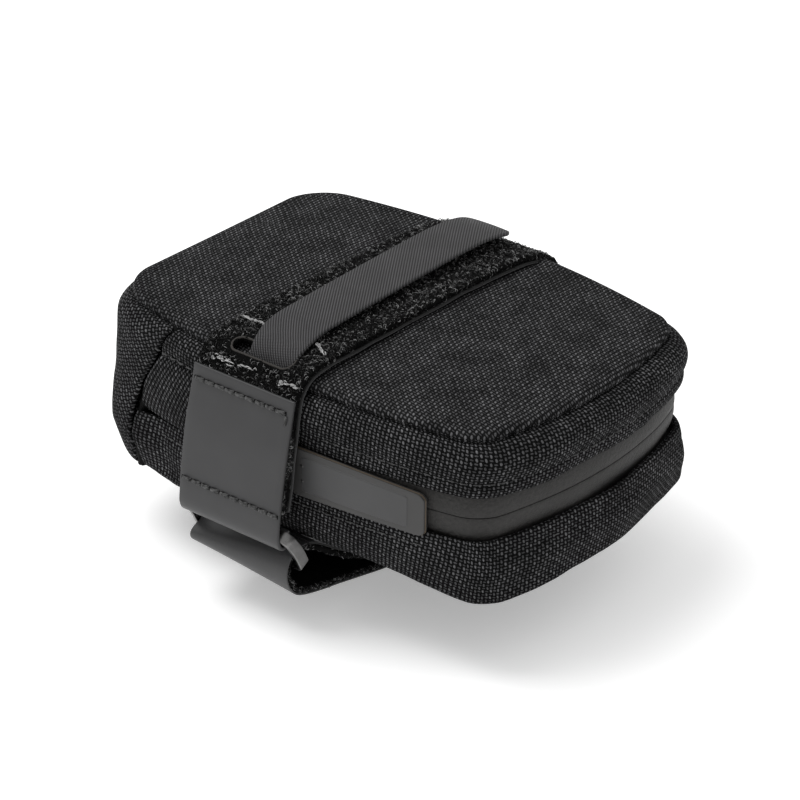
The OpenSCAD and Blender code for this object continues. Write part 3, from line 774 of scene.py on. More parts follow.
def make_top():
    edge = [[1.2, 42.9], [0.3, 43.1], [-0.1, 43.7], [0.45, 44.5], [1.6, 45.05], [3.4, 45.4], [6.0, 45.6]]
    slow = waves(41, 25, 70)

    def dome(d):
        return 45.6 + 0.5 * (1 - np.exp(-(d - 6) / 9))

    def sunk(x, y):
        """The far half lies lower, most of all where the strap presses on its shoulder."""
        pressed = 1 - step(np.abs(x), 14, 20)
        return 0.10 * slow(x, y) - 0.8 * step(y, 5, 40) - 0.6 * step(y, 24, 42) * pressed

    top = wide_sheet("top_panel", 2.55, edge, dome, SHELL_T, "top", sunk)
    show(top, "top_weave", "lid_fold", "top_panel_front", "top_panel_rear", fill=SHELL_FILL)

    # The near-black welt in the top seam's groove is partly painted crease shade.
    welt_line = [[4.0, 42.1], [3.3, 42.35], [3.25, 42.9], [3.9, 43.2]]
    welt = panel("top_welt", welt_line, 0.5, lambda z: (0 * z, PERIMETER + 0 * z), "welt", pitch=1.6,
                 row_step=0.4, rim=0.3)
    show(welt, None, "lid_fold", "top_welt_front", "top_welt_rear")

    flat_edge = [[0.0, 1.0], [0.5, 0.6], [1.5, 0.3], [3.2, 0.15]]
    base = wide_sheet("bottom_panel", 3.2, flat_edge, lambda d: 0.15 + 0 * d, -1.0, "top",
                      lambda x, y: 0.04 * slow(x, y), columns=220, rows=16)
    show(base, "shell_weave", "root", "bottom_panel", fill=SHELL_FILL)


# ---- tubes ----
def tube_parts(path, radius, sides, flat, up, first):
    """Points, faces and cloth coordinates of a closed tube. flat squeezes it along up."""
    n = len(path)
    radius = np.broadcast_to(np.asarray(radius, float), (n,))
    tangent = unit(np.gradient(path, axis=0))
    side = unit(np.cross(tangent, np.broadcast_to(np.asarray(up, float), (n, 3))))
    top = np.cross(side, tangent)
    angle = 2 * math.pi * np.arange(sides) / sides
    ring = (np.cos(angle)[None, :, None] * side[:, None] + flat * np.sin(angle)[None, :, None] * top[:, None])
    points = path[:, None] + ring * radius[:, None, None]
    i, j = np.arange(n - 1)[:, None] * sides, np.arange(sides)
    k = (j + 1) % sides
    quads = grid(i + j, i + sides + j, i + sides + k, i + k).reshape(-1, 4)
    caps = [np.arange(sides)[None, :], ((n - 1) * sides + np.arange(sides)[::-1])[None, :]]
    uv = grid(lengths(path)[:, None], angle[None, :] * radius[:, None])
    return points.reshape(-1, 3), [quads + first] + [c + first for c in caps], uv.reshape(-1, 2)


def tubes(name, paths, radii, material, sides=6, ups=None, flat=1.0):
    """Closed tubes along paths in space, in one mesh."""
    points, faces, uvs, first = [], [], [], 0
    for k, (path, radius) in enumerate(zip(paths, radii)):
        up = (0, 0, 1) if ups is None else ups[k]
        p, f, uv = tube_parts(np.asarray(path, float), radius, sides, flat, up, first)
        points.append(p)
        faces += f
        uvs.append(uv + (0.37 * k, 0.0))
        first += len(p)
    return solid(name, np.concatenate(points), faces, material, np.concatenate(uvs))


def topstitch(name, z, inset, start, end, body):
    """A row of short arched stitches round the shell."""
    s = np.arange(start, end, STITCH_PITCH)
    here = on_shell(inset, z, s)
    ahead = unit(on_shell(inset, z, s + 0.5) - here)
    normal = np.stack([ahead[:, 1], -ahead[:, 0], 0 * s], 1)
    t, radius, reach = np.linspace(-1, 1, 7), 0.2, STITCH_PITCH * 0.78 / 2
    rise = radius * 0.8 * (1 - np.abs(t) ** 3.0) - radius * 1.2 * np.abs(t) ** 6 - 0.05
    paths = [c + d * (t * reach)[:, None] + up * rise[:, None] for c, d, up in zip(here, ahead, normal)]
    thin = radius * np.sqrt(np.clip(1.02 - np.abs(t) ** 4, 0.05, 1))
    made = tubes(name, paths, [thin] * len(paths), "shell_thread", ups=list(normal))
    show(made, "dark_thread", body)


def make_topstitching():
    topstitch("lower_topstitch", LOW_STITCH, -0.3, near_s(-41.0), far_s(-41.0), "root")
    topstitch("upper_topstitch", HIGH_STITCH, -0.3, near_s(0.0), far_s(0.0), "lid_fold")
    topstitch("front_topstitch_near", FRONT_STITCH, -0.5, near_s(-36.0), near_s(-1.0), "root")
    topstitch("front_topstitch_far", FRONT_STITCH, -0.5, far_s(-1.0), far_s(-36.0), "root")

    z = np.linspace(0.2, 42.2, 60)
    seams = []
    for side in (near_s, far_s):
        s = side(front_x(z))
        inset = np.interp(z, [0, 3.4, 9, 24, 38, 42.9], [3.4, 1.7, 1.7, 1.5, 1.8, 3.2]) + 0.7 - low_push(s, z)
        seams.append(on_shell(inset, z - low_sag(s, z), s))
    # The near-black piping sunk in the front seams is partly its own colour and partly painted crease shade.
    made = tubes("front_seam_piping", seams, [1.25, 1.25], "welt", sides=8, ups=[(0, 1, 0)] * 2)
    show(made, None, "root", "front_seam_piping")


# ---- the zip ----
def make_zip():
    slit = 0.03
    low = [[2.6, 13.0], [2.0, 14.8], [1.4, 16.6], [0.95, 18.6], [0.75, 20.4], [0.75, 21.5],
           [0.85, SLIT_Z - slit]]
    high = [[0.85, SLIT_Z + slit], [0.75, 23.1], [0.75, 24.2], [0.95, 26.0], [1.4, 27.9], [2.0, 29.8],
            [2.6, 31.0]]
    slow = waves(51, 18, 40)
    halves = (("lower", low, "root", -1, ()), ("upper", high, "lid_fold", 1, ("upper_tape_ends",)))
    for half, profile, body, sign, ends in halves:
        name = half + "_zipper_tape"
        made = panel(name, profile, 0.8, behind(ZIP_FRONT), "tape", lambda s, z: 0.12 * slow(s, z),
                     row_step=0.6, rim=0.14)
        show(made, None, body, name, *ends)
    for half, profile, body, sign, ends in halves:
        name = half + "_zipper_coil"
        s = np.arange(near_s(ZIP_FRONT + 3), far_s(ZIP_FRONT + 3), 0.35)
        turn = np.arange(len(s)) * math.pi / 3
        path = on_shell(2.7 + 0.45 * np.cos(turn), SLIT_Z + sign * (0.9 + 0.55 * np.sin(turn)), s)
        show(tubes(name, [path], [0.22], "coil", sides=4), None, body, name)


# ---- the strap's route, as in the CAD ----
NEAR_RUN = [[-56.7, 13.4], [-56.1, 16], [-54.4, 24], [-53, 32], [-51.9, 38.4], [-50.4, 43.4]]
TOP_RUN = [[-46.4, 46.7], [-40, 47.7], [-28, 47.9], [-12, 47.9], [8, 47.8], [22, 47.4], [33, 46.7],
           [41, 45.6], [46.8, 43.4]]
FAR_RUN = [[50.6, 40.0], [52.5, 33], [52.7, 22], [52.2, 10.6], [49.2, 0.8], [41, -7]]
BELLY_RUN = [[28, -12.6], [12, -16.2], [-4, -17.4], [-17, -15.8], [-27, -12.4], [-36, -7.6], [-45, -1.5]]
ROLL_RUN = [[-48.6, 0], [-52.2, -0.2], [-54.8, -3], [-54.9, -6.8], [-52.8, -10.2], [-49.6, -11.9]]
TAIL_RUN = [[-43, -13.6], [-36.3, -14.9], [-27, -16.9], [-17, -18.9], [-4, -20.5], [13, -19.5]]
MAIN_ROUTE = spline(NEAR_RUN + TOP_RUN + FAR_RUN + BELLY_RUN + ROLL_RUN[:1])
TAIL_ROUTE = spline(ROLL_RUN + TAIL_RUN)

# The strap's layers, as distances outwards from its route
PILE_OUT, PILE_IN = 1.0, -0.61
PLIES = ((-1.4, -1.08, "back"), (-1.0, -0.68, "ply"))

# The slot that the webbing comes out of
SLOT_HALF = (9.7, 2.2)
SLOT_X = 0.5


def route_at(route, wanted):
    """Points of a route at these distances, and the unit vectors that point out of the loop."""
    line = at_lengths(route, wanted)
    d = unit(at_lengths(route, wanted + 0.4) - at_lengths(route, wanted - 0.4))
    return line, np.stack([-d[:, 1], d[:, 0]], 1)


def off_route(route, x, along, lift):
    """Points on a strap at x across it and lift outwards, and the outward directions."""
    line, out = route_at(route, along)
    y, z = (line + out * np.reshape(lift, (-1, 1))).T
    return np.stack([x + 0 * y, y, z], 1), np.stack([0 * y, *out.T], 1)


def outwards(line, out, shift):
    """A line's two coordinates over a grid, moved outwards by shift."""
    return line[:, :1] + out[:, :1] * shift, line[:, 1:] + out[:, 1:] * shift


def distance_to(route, point):
    """How far along the route the point lies."""
    return lengths(route)[np.argmin(np.linalg.norm(route - np.array(point), axis=1))]


SLOT_D = distance_to(MAIN_ROUTE, (-45.6, 46.95))


def in_slot(x, along, grow=0.0):
    """True inside the rounded slot, which is grow larger all round."""
    hx, hy = SLOT_HALF
    dx = np.maximum(np.abs(x - SLOT_X) - (hx - hy), 0)
    return np.hypot(dx, along - SLOT_D) < hy + grow


def ribbon(name, route, start, end, low, high, width, material, pitch=1.0, across=1.0, rim=0.5,
           roughen=None, slot=None, edge_wave=0.0, lift=None):
    """A layer of strap between two distances outwards from its route, with rounded edges."""
    along = graded(end - start, pitch, rim)
    x = graded(width, across, rim)
    line, outward = route_at(route, start + along)
    middle = (low + high) / 2
    half = (high - low) / 2 * rounded(along, x, rim)
    raised = 0 if roughen is None else roughen(half.shape)
    wobble = edge_wave * waves(7, 9, 30)(along, 0 * along)
    xs = (x - width / 2)[None, :] + wobble[:, None] * np.sign(x - width / 2)[None, :]
    sides = []
    for shift in (middle + half + raised, middle - half):
        y, z = outwards(line, outward, shift)
        if lift is not None:
            z = z + lift(xs, y, z)
        sides.append(np.stack([xs + 0 * y, y, z], -1))
    keep = None
    if slot is not None:
        middle_along = start + (along[:-1, None] + along[1:, None]) / 2
        keep = ~in_slot((xs[:-1, :-1] + xs[1:, 1:]) / 2, middle_along, slot)
    return two_sided(name, *sides, grid(xs, (start + along)[:, None]), material, keep=keep)


# ---- loops of pile ----
LOOP_KNOTS, LOOP_SIDES, LOOP_R = 5, 3, 0.075
LOOP_SPAN = (0.4, 1.3)
TOP_LOOPS, LOW_LOOPS = (0.3, 0.8), (0.25, 0.6)  # heights on the top face, and elsewhere
TOP_COUNT, BELOW_COUNT, THICK_EDGE_COUNT, EDGE_COUNT, TAIL_EDGE_COUNT = 5200, 2800, 500, 700, 420
STRAP_EDGE = STRAP_W / 2 - 0.2


def loops(name, feet, outward, seed, height=TOP_LOOPS):
    """Curled fibres that stand on the pile: one little arch for each foot."""
    rng = np.random.default_rng(seed)
    n, knots, sides = len(feet), LOOP_KNOTS, LOOP_SIDES
    t = np.linspace(0, 1, knots)[None, :, None]
    wild = rng.normal(size=(n, 3))
    flat_dir = unit(wild - (wild * outward).sum(1)[:, None] * outward)
    side = np.cross(outward, flat_dir)
    h = rng.uniform(*height, n)[:, None, None]
    w = rng.uniform(*LOOP_SPAN, n)[:, None, None]
    lean = rng.normal(0, 0.35, (n, 1, 1))
    up, ahead, beside, arch = outward[:, None], flat_dir[:, None], side[:, None], np.sin(math.pi * t)
    path = (feet[:, None] + ahead * w * (t - 0.5) * (1 + 0.5 * arch) + up * (h * arch - 0.25)
            + beside * lean * arch)
    tangent = unit(np.gradient(path, axis=1))
    a = unit(np.cross(tangent, np.broadcast_to(beside + 0.01 * up, path.shape)))
    b = np.cross(tangent, a)
    angle = 2 * math.pi * np.arange(sides) / sides
    ring = np.cos(angle)[:, None] * a[:, :, None] + np.sin(angle)[:, None] * b[:, :, None]
    points = path[:, :, None] + LOOP_R * ring
    base = (np.arange(n) * knots * sides)[:, None, None]
    i, j = np.arange(knots - 1)[None, :, None] * sides + base, np.arange(sides)
    k = (j + 1) % sides
    quads = grid(i + j, i + k, i + sides + k, i + sides + j)
    last = (knots - 1) * sides
    ends = np.concatenate([base[:, 0] + np.arange(sides)[::-1], base[:, 0] + last + np.arange(sides)])
    # Each loop's tone; its light end is painted glint.
    tone = rng.uniform(0, 1, n)[:, None, None]
    uv = grid(tone, np.linspace(0, 1, knots)[None, :, None], 0 * angle)[..., :2]
    return solid(name, points.reshape(-1, 3), [quads.reshape(-1, 4), ends], "fibre", uv)


def pile_points(route, start, end, count, seed, avoid=None):
    """Random feet for loops on a stretch of the strap's pile, with their outward directions."""
    rng = np.random.default_rng(seed)
    along = rng.uniform(start, end, count)
    x = rng.uniform(-STRAP_EDGE, STRAP_EDGE, count)
    if avoid is not None:
        kept = ~avoid(x, along)
        along, x = along[kept], x[kept]
    order = np.argsort(along)
    return off_route(route, x[order], along[order], PILE_OUT)


def edge_points(route, start, end, count, seed, levels):
    """Random feet on both cut edges of the strap, which face along X."""
    feet, facing = [], []
    for sign in (-1, 1):
        rng = np.random.default_rng(seed)
        along = np.sort(rng.uniform(start, end, count))
        points, out = off_route(route, sign * STRAP_EDGE, along, rng.uniform(*levels, count))
        feet.append(points)
        facing.append(unit(out * 0.35 + (sign, 0, 0)))
    return np.concatenate(feet), np.concatenate(facing)


def make_strap():
    total = lengths(MAIN_ROUTE)[-1]

    def rough(shape):
        return 0.42 * fine_rough(shape, 61) * rounding(np.linspace(0, STRAP_W, shape[1]), 0.8)[None, :]

    pile = ribbon("main_strap", MAIN_ROUTE, 0, total, PILE_IN, PILE_OUT, STRAP_W, "pile", pitch=0.85,
                  across=0.85, roughen=rough, slot=0.0, edge_wave=0.12, rim=0.7)
    show(pile, "strap_pile", "root", "main_strap")
    for k, (low, high, material) in enumerate(PLIES, 1):
        ply = ribbon(f"strap_backing_{k}", MAIN_ROUTE, 0, total, low, high, STRAP_W + 0.5, material,
                     pitch=1.2, across=1.6, rim=0.2, slot=1.0, edge_wave=0.12)
        show(ply, "strap_back", "root")

    top_start, top_end = distance_to(MAIN_ROUTE, (-51.4, 40.6)), distance_to(MAIN_ROUTE, (47.0, 43.9))
    thick_end = distance_to(MAIN_ROUTE, (-52.8, 33.0))
    for k in (1, 2):
        feet, out = pile_points(MAIN_ROUTE, top_start, top_end, TOP_COUNT, 70 + k,
                                lambda x, along: in_slot(x, along, 0.9))
        show(loops(f"strap_loops_top_{k}", feet, out, 170 + k), "strap_pile", "root")

    parts = (pile_points(MAIN_ROUTE, top_end, total, BELOW_COUNT, 73),
             edge_points(MAIN_ROUTE, 0, thick_end, THICK_EDGE_COUNT, 74, (-0.4, 1.5)),
             edge_points(MAIN_ROUTE, thick_end, total, EDGE_COUNT, 75, (-0.4, 0.9)))
    feet, out = (np.concatenate(part) for part in zip(*parts))
    show(loops("strap_loops_sides", feet, out, 76, height=LOW_LOOPS), "strap_pile", "root")

    near_pile = ribbon("strap_near_pile", MAIN_ROUTE, 0, thick_end, PILE_OUT - 0.1, 1.55, STRAP_W - 0.4,
                       "pile", pitch=0.7, across=0.9, rim=0.4)
    show(near_pile, "strap_pile", "root")


def roll_lift(x, y, z):
    """The roll is flatter at its front end than at its rear end."""
    squeeze = 0.55 * (STRAP_W / 2 - x) / STRAP_W
    share = np.where(z < -8, 1 - step(y, -42, -15), step(-y, 49, 53))
    return (-5.3 - z) * squeeze * share


# The ring's two bars, in Y and Z, and its flat strip
RING_TOP, RING_LOW = (-57.3, 6.6), (-51.0, -3.9)
RING_BAND, RING_T = 3.3, 1.1


def make_tail():
    total = lengths(TAIL_ROUTE)[-1]
    turn = distance_to(TAIL_ROUTE, (-20, -18.3))
    skin = ribbon("strap_tail", TAIL_ROUTE, 0, total, -1.4, -0.9, STRAP_W, "back", rim=0.25, pitch=0.9,
                  across=1.6, lift=roll_lift)
    show(skin, "strap_back", "tail_fold", "strap_tail")
    fluff = ribbon("strap_tail_pile", TAIL_ROUTE, 0, turn, -0.88, 0.4, STRAP_W - 0.3, "pile", pitch=0.8,
                   across=0.8, roughen=lambda shape: 0.4 * fine_rough(shape, 81), rim=0.6, lift=roll_lift)
    show(fluff, "strap_pile", "tail_fold")
    hooks = ribbon("tail_hook_patch", TAIL_ROUTE, turn + 0.3, total - 1.5, -0.88, -0.1, STRAP_W - 3, "hooks",
                   pitch=0.7, across=0.7, roughen=lambda shape: 0.3 * fine_rough(shape, 82, 0), rim=0.3,
                   lift=roll_lift)
    show(hooks, "hook_tape", "tail", "tail_hook_patch")
    feet, out = edge_points(TAIL_ROUTE, 0, turn, TAIL_EDGE_COUNT, 83, (-0.7, 0.5))
    feet[:, 2] += roll_lift(*feet.T)
    clear = np.hypot(feet[:, 1] - RING_LOW[0], feet[:, 2] - RING_LOW[1]) > 4.2
    show(loops("tail_loops", feet[clear], out[clear], 84, height=LOW_LOOPS), "strap_pile", "tail_fold")


# ---- patch, folded round the ring's upper bar ----
PATCH_FACE = [[-52.8, 42.4], [-53.4, 39.8], [-54.4, 35.8], [-56.4, 28.2], [-57.9, 20.5], [-58.9, 14.6],
              [-59.6, 9.4], [-59.8, 6.2], [-59.0, 3.9], [-57.5, 3.1], [-55.9, 3.7], [-55.1, 5.6],
              [-55.2, 8.0]]
PATCH_LINE = spline(PATCH_FACE)[::-1]
FOLD_POINTS = 40  # of the patch's line, round the ring's bar
PATCH_T = 1.0


def make_patch():
    along = lengths(PATCH_LINE)
    made = ribbon("strap_patch", PATCH_LINE, 0, along[-1], -PATCH_T, 0.0, STRAP_W + 0.4, "patch", pitch=0.9,
                  across=2.0, rim=0.3, edge_wave=0.05)
    show(made, "patch_rubber", "root", "strap_patch")
    upper_row, lower_row = (38.9, -15.4, 14.4), (13.1, -15.6, 16.0)
    paths, radii, ups, stitch_shadows = [], [], [], []

    def add(path, thick, t, up):
        """One yarn of a stitch, which thins towards its ends."""
        paths.append(path)
        radii.append(thick * np.sqrt(1.02 - np.abs(2 * t - 1) ** 4))
        ups.append(up)

    for height, x0, x1 in (upper_row, lower_row):
        d = np.interp(height, PATCH_LINE[FOLD_POINTS:, 1], along[FOLD_POINTS:])
        (point,), (normal,) = off_route(PATCH_LINE, 0.0, np.array([d]), 0.0)
        tangent = np.cross(normal, [1.0, 0, 0])
        # Each row gets a flat near-black strip just proud of the patch: painted shadow round the stitches.
        stitch_shadows.append([point + normal * 0.02 + (x, 0, 0) for x in np.linspace(x0 - 0.2, x1 + 0.2, 40)])
        count = int(round((x1 - x0) / 3.15))
        pitch = (x1 - x0) / count
        t = np.linspace(0, 1, 11)
        for k in range(count):
            for phase in (0, math.pi):
                angle = phase + 0.35 + 0.8 * math.pi * t
                sway = 0.26 * np.cos(angle)[:, None] * tangent + 0.2 * np.sin(angle)[:, None] * normal
                rise = (0.36 - 0.7 * np.abs(2 * t - 1) ** 5)[:, None] * normal
                x = x0 + pitch * (k + 0.01 + 0.98 * t) + 0.12 * math.cos(phase)
                add(point + grid(x, 0, 0) + sway + rise, 0.40, t, normal)
        if height > 30:
            t = np.linspace(0, 1, 9)
            for k in range(2):
                drop = tangent * (-0.4 - 2.6 * t)[:, None] + normal * 0.15
                add(point + grid(x1 + 0.25 * k + 0.2 * np.sin(math.pi * t), 0, 0) + drop, 0.30, t, normal)
    # Painted shadow under the stitch rows, in the near-black welt colour.
    stitch_shadow_strip = tubes("patch_stitch_channel", stitch_shadows, [0.55, 0.55], "welt", ups=ups[:1] * 2, flat=0.22)
    show(stitch_shadow_strip, "dark_thread", "root")
    made = tubes("patch_stitching", paths, radii, "dark_thread", ups=ups)
    show(made, "dark_thread", "root", "patch_stitching")


# ---- ring of flat steel strip ----
def arcs(corners, count):
    """Points round a loop of quarter circles, each given by its middle, its radius and its start."""
    parts = []
    for cx, cy, r, start in corners:
        a = np.radians(np.linspace(start, start + 90, count))
        parts.append(np.stack([cx + r * np.cos(a), cy + r * np.sin(a)], 1))
    return np.concatenate(parts)


def make_ring():
    top, low = np.array(RING_TOP), np.array(RING_LOW)
    reach = np.linalg.norm(low - top)
    down = (low - top) / reach
    across = np.array([-down[1], down[0]])
    half_x = STRAP_W / 2 + 0.4 + RING_T / 2
    big, small = 2.3, 1.2
    loop = arcs(((half_x - small, reach - small, small, 0), (small - half_x, reach - small, small, 90),
                 (big - half_x, big, big, 180), (half_x - big, big, big, 270)), 9)
    loop = np.concatenate([loop, loop[:1]])
    loop = at_lengths(loop, np.linspace(0, lengths(loop)[-1], 241))[:-1]
    d = unit(np.roll(loop, -1, 0) - np.roll(loop, 1, 0))
    outward = np.stack([d[:, 1], -d[:, 0]], 1)
    r = 0.28
    w, h = RING_BAND / 2 - r, RING_T / 2 - r
    section = arcs(((w, h, r, 0), (-w, h, r, 90), (-w, -h, r, 180), (w, -h, r, 270)), 4)
    swell = 0.5 * np.sin(math.pi * np.clip(loop[:, 1] / reach, 0, 1))
    rows = []
    for a, b in section:
        flat = loop + outward * b
        yz = top + down * flat[:, 1][:, None] + across * (a + swell)[:, None]
        rows.append(np.stack([flat[:, 0], yz[:, 0], yz[:, 1]], 1))
    m, n = len(section), len(loop)
    i, j = np.arange(m)[:, None], np.arange(n)
    i2, j2 = (i + 1) % m, (j + 1) % n
    quads = grid(i * n + j, i * n + j2, i2 * n + j2, i2 * n + j).reshape(-1, 4)
    show(solid("strap_ring", np.stack(rows), [quads], "ring"), "ring_steel", "ring", "strap_ring")


# ---- slot binding, bartacks and webbing ----
def make_slot():
    hx, hy = SLOT_HALF[0] + 0.1, SLOT_HALF[1] + 0.1
    a = np.linspace(0, 2 * math.pi, 97)
    path, _ = off_route(MAIN_ROUTE, SLOT_X + np.sign(np.cos(a)) * (hx - hy) + hy * np.cos(a),
                        SLOT_D + hy * np.sin(a), PILE_OUT - 0.1)
    path = at_lengths(path, np.linspace(0, lengths(path)[-1], 140))
    made = tubes("slot_binding", [path], [0.32], "binding", sides=8, ups=[(0, -0.6, 0.8)], flat=0.9)
    show(made, "binding", "root", "slot_binding")


def make_bartacks():
    rng = np.random.default_rng(91)
    paths, radii = [], []
    top = distance_to(MAIN_ROUTE, (-49.9, 44.0))
    tacks = ((-14.8, -6.8, SLOT_D + 8.4, SLOT_D + 8.8, 24), (9.2, 15.6, SLOT_D + 9.5, SLOT_D + 5.6, 26),
             (-11.5, -6.0, top, top + 0.2, 22), (-6.5, 3.5, top + 0.1, top + 0.3, 10),
             (10.2, 16.0, top + 0.2, top + 0.4, 26))
    arch = np.sin(np.linspace(0, math.pi, 6))
    for x0, x1, d0, d1, count in tacks:
        for _ in range(count):
            s = rng.uniform(0, 1)
            reach = rng.uniform(0.10, 0.26)
            t = np.clip(np.linspace(s - reach / 2, s + reach / 2, 6), 0, 1)
            sway = rng.normal(0, 0.22) + 0.25 * arch * rng.normal()
            lift = PILE_OUT + 0.55 + 0.4 * arch * rng.uniform(0.3, 1.4)
            paths.append(off_route(MAIN_ROUTE, x0 + (x1 - x0) * t, d0 + (d1 - d0) * t + sway, lift)[0])
            radii.append(0.13 * np.sqrt(1.05 - np.linspace(-1, 1, 6) ** 4))
    show(tubes("bartacks", paths, radii, "pale_thread", sides=5), "pale_thread", "root", "bartacks")


WING_ROUTE = [[-46.0, 43.4], [-45.6, 45.6], [-44.7, 47.6], [-43.4, 49.0], [-41.8, 49.8], [-38.9, 50.3],
              [-35.4, 50.8], [-31, 51.2], [-22, 51.5], [-12, 51.7], [4, 51.9], [18, 52.0], [28, 51.9],
              [34, 51.5], [38, 50.9], [41.3, 50.0], [43.4, 49.1]]


def make_wing():
    route = spline(WING_ROUTE)
    total, corner = lengths(route)[-1], 5.0
    along, x = graded(total, 0.9, 0.45), graded(WING_W, 0.9, 0.5)
    line, out = route_at(route, along)
    left = np.clip(total - along, 0, corner)
    narrow = np.sqrt(np.clip(1 - (1 - left / corner) ** 2, 0, 1)) * 0.3 + 0.7
    squeezed = narrow * (0.92 + 0.08 * step(along, 4, 12))
    half = WING_T / 2 * rounded(along, x, 0.45, 0.5)
    skew = np.interp(line[:, 0], [-44.5, -42.5, -39, -35.5, -32, -15, 24],
                     [2.9, 2.8, 1.9, 1.35, 1.0, 0.7, 0.1])
    across = (x - WING_W / 2)[None, :] * squeezed[:, None]
    cupped = -0.28 * (across / WING_W * 2) ** 2 * step(along, 10, 25)[:, None]
    sides = [grid(skew[:, None] + across, *outwards(line, out, shift))
             for shift in (half + cupped, cupped - half)]
    made = two_sided("wing_webbing", *sides, grid(across, along[:, None]), "webbing")
    show(made, "webbing", "wing_fold", "wing_webbing", "wing_anchor")


# ---- slider and puller ----
SLIDER_X, SLIDE_TRAVEL = 10.0, 34.0
TAB_X0, TAB_X1, TAB_H, TAB_MID = 3.0, 41.2, 12.4, -0.6
TAB_OUT, TAB_CORNER = -3.3, 2.0


def slider_frame(x, y, z):
    """Points given from the slider's middle, along its travel, inwards and up, in the bag's frame."""
    turn = math.atan((side_y(SLIDER_X) - side_y(SLIDER_X + SLIDE_TRAVEL)) / SLIDE_TRAVEL)
    fall = math.atan(SLIT_Z * TOP_SLOPE * math.cos(turn))
    x, z = x * math.cos(fall) + z * math.sin(fall), z * math.cos(fall) - x * math.sin(fall)
    x, y = x * math.cos(turn) - y * math.sin(turn), x * math.sin(turn) + y * math.cos(turn)
    return np.stack([x + SLIDER_X, y - side_y(SLIDER_X), z + SLIT_Z * (1 - TOP_SLOPE * SLIDER_X)], -1)


def tab_layer(name, x_range, height, depths, material, rim=0.3, corner=TAB_CORNER):
    """One layer of the puller: a rounded strip that curves with the bag's side."""
    x0, x1 = x_range
    outer, inner = (TAB_OUT + depth for depth in depths)
    along, up = graded(x1 - x0, 0.9, rim), graded(height, 0.8, rim)
    end = np.minimum(along, along[-1] - along)
    cut = corner - np.sqrt(np.clip(corner**2 - (corner - np.minimum(end, corner)) ** 2, 0, None))
    share = (x0 + along - TAB_X0) / (TAB_X1 - TAB_X0)
    tall = (height - 2 * cut) / height * (1.07 - 0.16 * share)
    z = (up - height / 2)[:, None] * tall[None, :] + TAB_MID + 0.6 - 1.5 * share
    x = np.broadcast_to((x0 + along)[None, :], z.shape)
    follow = 1.9 * (np.maximum(x - TAB_X0, 0) / (TAB_X1 - TAB_X0)) ** 1.4 + 0.6
    middle, half = (outer + inner) / 2, (inner - outer) / 2 * rounded(up, along, rim)
    sides = [slider_frame(x, middle + sign * half + follow, z) for sign in (-1, 1)]
    return two_sided(name, *sides, np.stack([x, z], -1), material)


def make_puller():
    whole = (TAB_X0, TAB_X1)
    show(tab_layer("puller_tab_back", whole, TAB_H, (0.85, 1.6), "puller_rim"), "puller_edge", "puller")
    core = tab_layer("puller_tab_core", (TAB_X0 - 0.05, TAB_X1 + 0.1), TAB_H + 0.2, (0.55, 0.95),
                     "puller_edge", rim=0.12)
    show(core, "puller_edge", "puller")
    face = tab_layer("puller_tab", whole, TAB_H, (0.0, 0.7), "puller_rim")
    show(face, "puller_edge", "puller", "puller_tab")
    inlay = tab_layer("puller_inlay", (TAB_X0 + 3.4, TAB_X1 - 4.6), TAB_H - 3.2, (-0.13, 0.3),
                      "puller_face", rim=0.25, corner=0.8)
    show(inlay, "puller_face", "puller", "puller_inlay")
    for name in ("zipper_slider", "slider_bridge", "puller_link", "zipper_stops"):
        soften(name)


def soften(node):
    """A bevelled copy of a CAD piece, in the slider's metal."""
    source = frame["nodes"][node]
    mesh = source.data.copy()
    cleaned(mesh, 0.005 * MM, lambda m: bmesh.ops.dissolve_limit(
        m, angle_limit=math.radians(3), verts=m.verts, edges=m.edges))
    mesh.materials.clear()
    made = place_mesh(node + "_finished", mesh, "slider")
    round_off = made.modifiers.new("edges", "BEVEL")
    round_off.width, round_off.segments, round_off.limit_method = 0.18 * MM, 2, "ANGLE"
    round_off.angle_limit = math.radians(40)
    show(made, "slider_metal", source["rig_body"], node)


# ---- inside ----
def make_inside():
    tray = [[8.6, 3.15], [6.7, 3.4], [5.2, 4.6], [4.2, 7.0], [3.6, 10.5], [3.3, 13.2]]
    crease = waves(101, 8, 22)
    wall = panel("body_lining", tray, LINING_T, lambda z: (0 * z, PERIMETER - 0.6 + 0 * z), "lining",
                 lambda s, z: 0.22 * crease(s, z), pitch=1.4, row_step=1.0, rim=0.3)
    show(wall, "lining", "root", "body_lining")
    floor = wide_sheet("body_lining_floor", 8.4, [[0.0, 3.1], [1.0, 3.25], [3.0, 3.3]], lambda d: 3.3 + 0 * d,
                       LINING_T, "lining", lambda x, y: 0.1 * crease(x, y), columns=130, rows=14)
    show(floor, "lining", "root")
    foam = panel("body_foam", [[2.4, 4.6], [1.6, 8.0], [1.5, 13.0]], 1.6, behind(-30.0), "foam", pitch=1.8,
                 row_step=1.2, rim=0.5)
    show(foam, "foam", "root", "body_foam", fill=FOAM_FILL)
    band = panel("lid_lining", [[2.4, 31.6], [2.4, 34], [2.8, 38.5], [4.4, 40.6], [8.0, 41.0]], LINING_T,
                 behind(20.0), "lining", lambda s, z: 0.15 * crease(s, z), pitch=1.4, row_step=1.0, rim=0.3)
    show(band, "lining", "lid", "lid_lining")
    stiffener = frame["nodes"]["base_stiffener"]
    stiffener.data.materials.clear()
    stiffener.data.materials.append(MATERIALS["stiffener"])


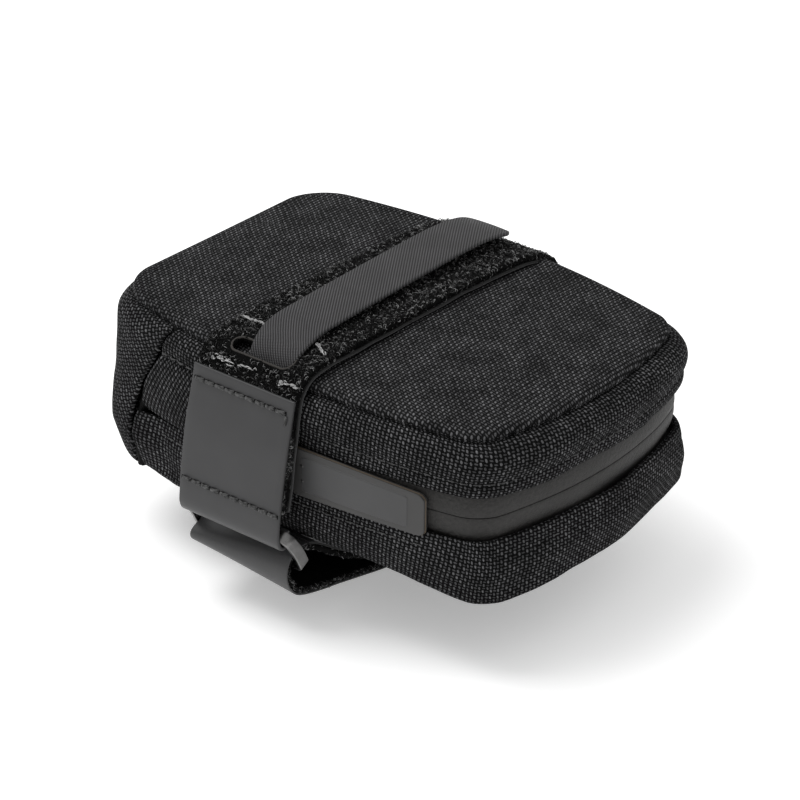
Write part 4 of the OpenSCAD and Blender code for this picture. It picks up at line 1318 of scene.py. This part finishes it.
def lid_layer(name, inset, start, height, thick, material, edge):
    """A level layer inside the lid, from start to the rear."""
    length, width = 38.0, BAG_W - 2 * inset
    along, across = graded(length, 1.6, edge), graded(width, 1.6, edge)
    v = (2 * across / width - 1)[:, None]
    end = BAG_L / 2 + BAG_MID - inset + 4.4 * (1 - v**2) - 2.6 * np.abs(v) ** 14
    x = start + (end - start) * (along / length)[None, :]
    y = v * width / 2 * widen(x - BAG_MID, width)
    half = thick / 2 * rounded(across, along, edge)
    middle = height + 0.12 * waves(107, 14, 30)(x, y)
    under, over = lifted(x, y, middle - half), lifted(x, y, middle + half)
    return two_sided(name, under, over, np.stack([x, y], -1), material)


def make_lid():
    pad = lid_layer("lid_foam", 9.3, 20.0, 42.45, 1.3, "foam", 1.0)
    show(pad, "foam", "lid_fold", "lid_foam", fill=FOAM_FILL)
    roof = lid_layer("lid_lining_roof", 6.5, 18.0, 41.15, LINING_T, "lining", 0.3)
    show(roof, "lining", "lid_fold")


# ---- floor and light ----
def make_stage():
    white = (1, 1, 1, 1)
    bpy.ops.mesh.primitive_plane_add(size=4, location=(0, 0, cad_box[0].z - 0.0005))
    floor = bpy.context.object
    floor.name = "floor"
    paint = Shader("floor", Roughness=0.9, Base_Color=(0.92, 0.92, 0.92, 1), Emission_Color=white,
                   Emission_Strength=0.3)
    floor.data.materials.append(paint.material)
    world = bpy.data.worlds.new("studio")
    world.use_nodes = True
    sky = world.node_tree.nodes["Background"]
    sky.inputs[0].default_value, sky.inputs[1].default_value = white, 0.62
    bpy.context.scene.world = world
    for name, place, power in (("key", (-0.45, -0.25, 1.15), 11.0), ("rear", (0.7, 0.7, 0.9), 1.5)):
        data = bpy.data.lights.new(name, "AREA")
        data.energy, data.size = power, 0.8
        lamp = bpy.data.objects.new(name, data)
        bpy.context.scene.collection.objects.link(lamp)
        lamp.location = place
        lamp.rotation_mode = "QUATERNION"
        lamp.rotation_quaternion = (-Vector(place)).to_track_quat("-Z", "Y")
    bpy.context.scene.view_settings.view_transform = "Standard"


make_camera()
make_shell()
make_top()
make_topstitching()
make_zip()
make_strap()
make_tail()
make_patch()
make_ring()
make_slot()
make_bartacks()
make_wing()
make_puller()
make_inside()
make_lid()
make_stage()
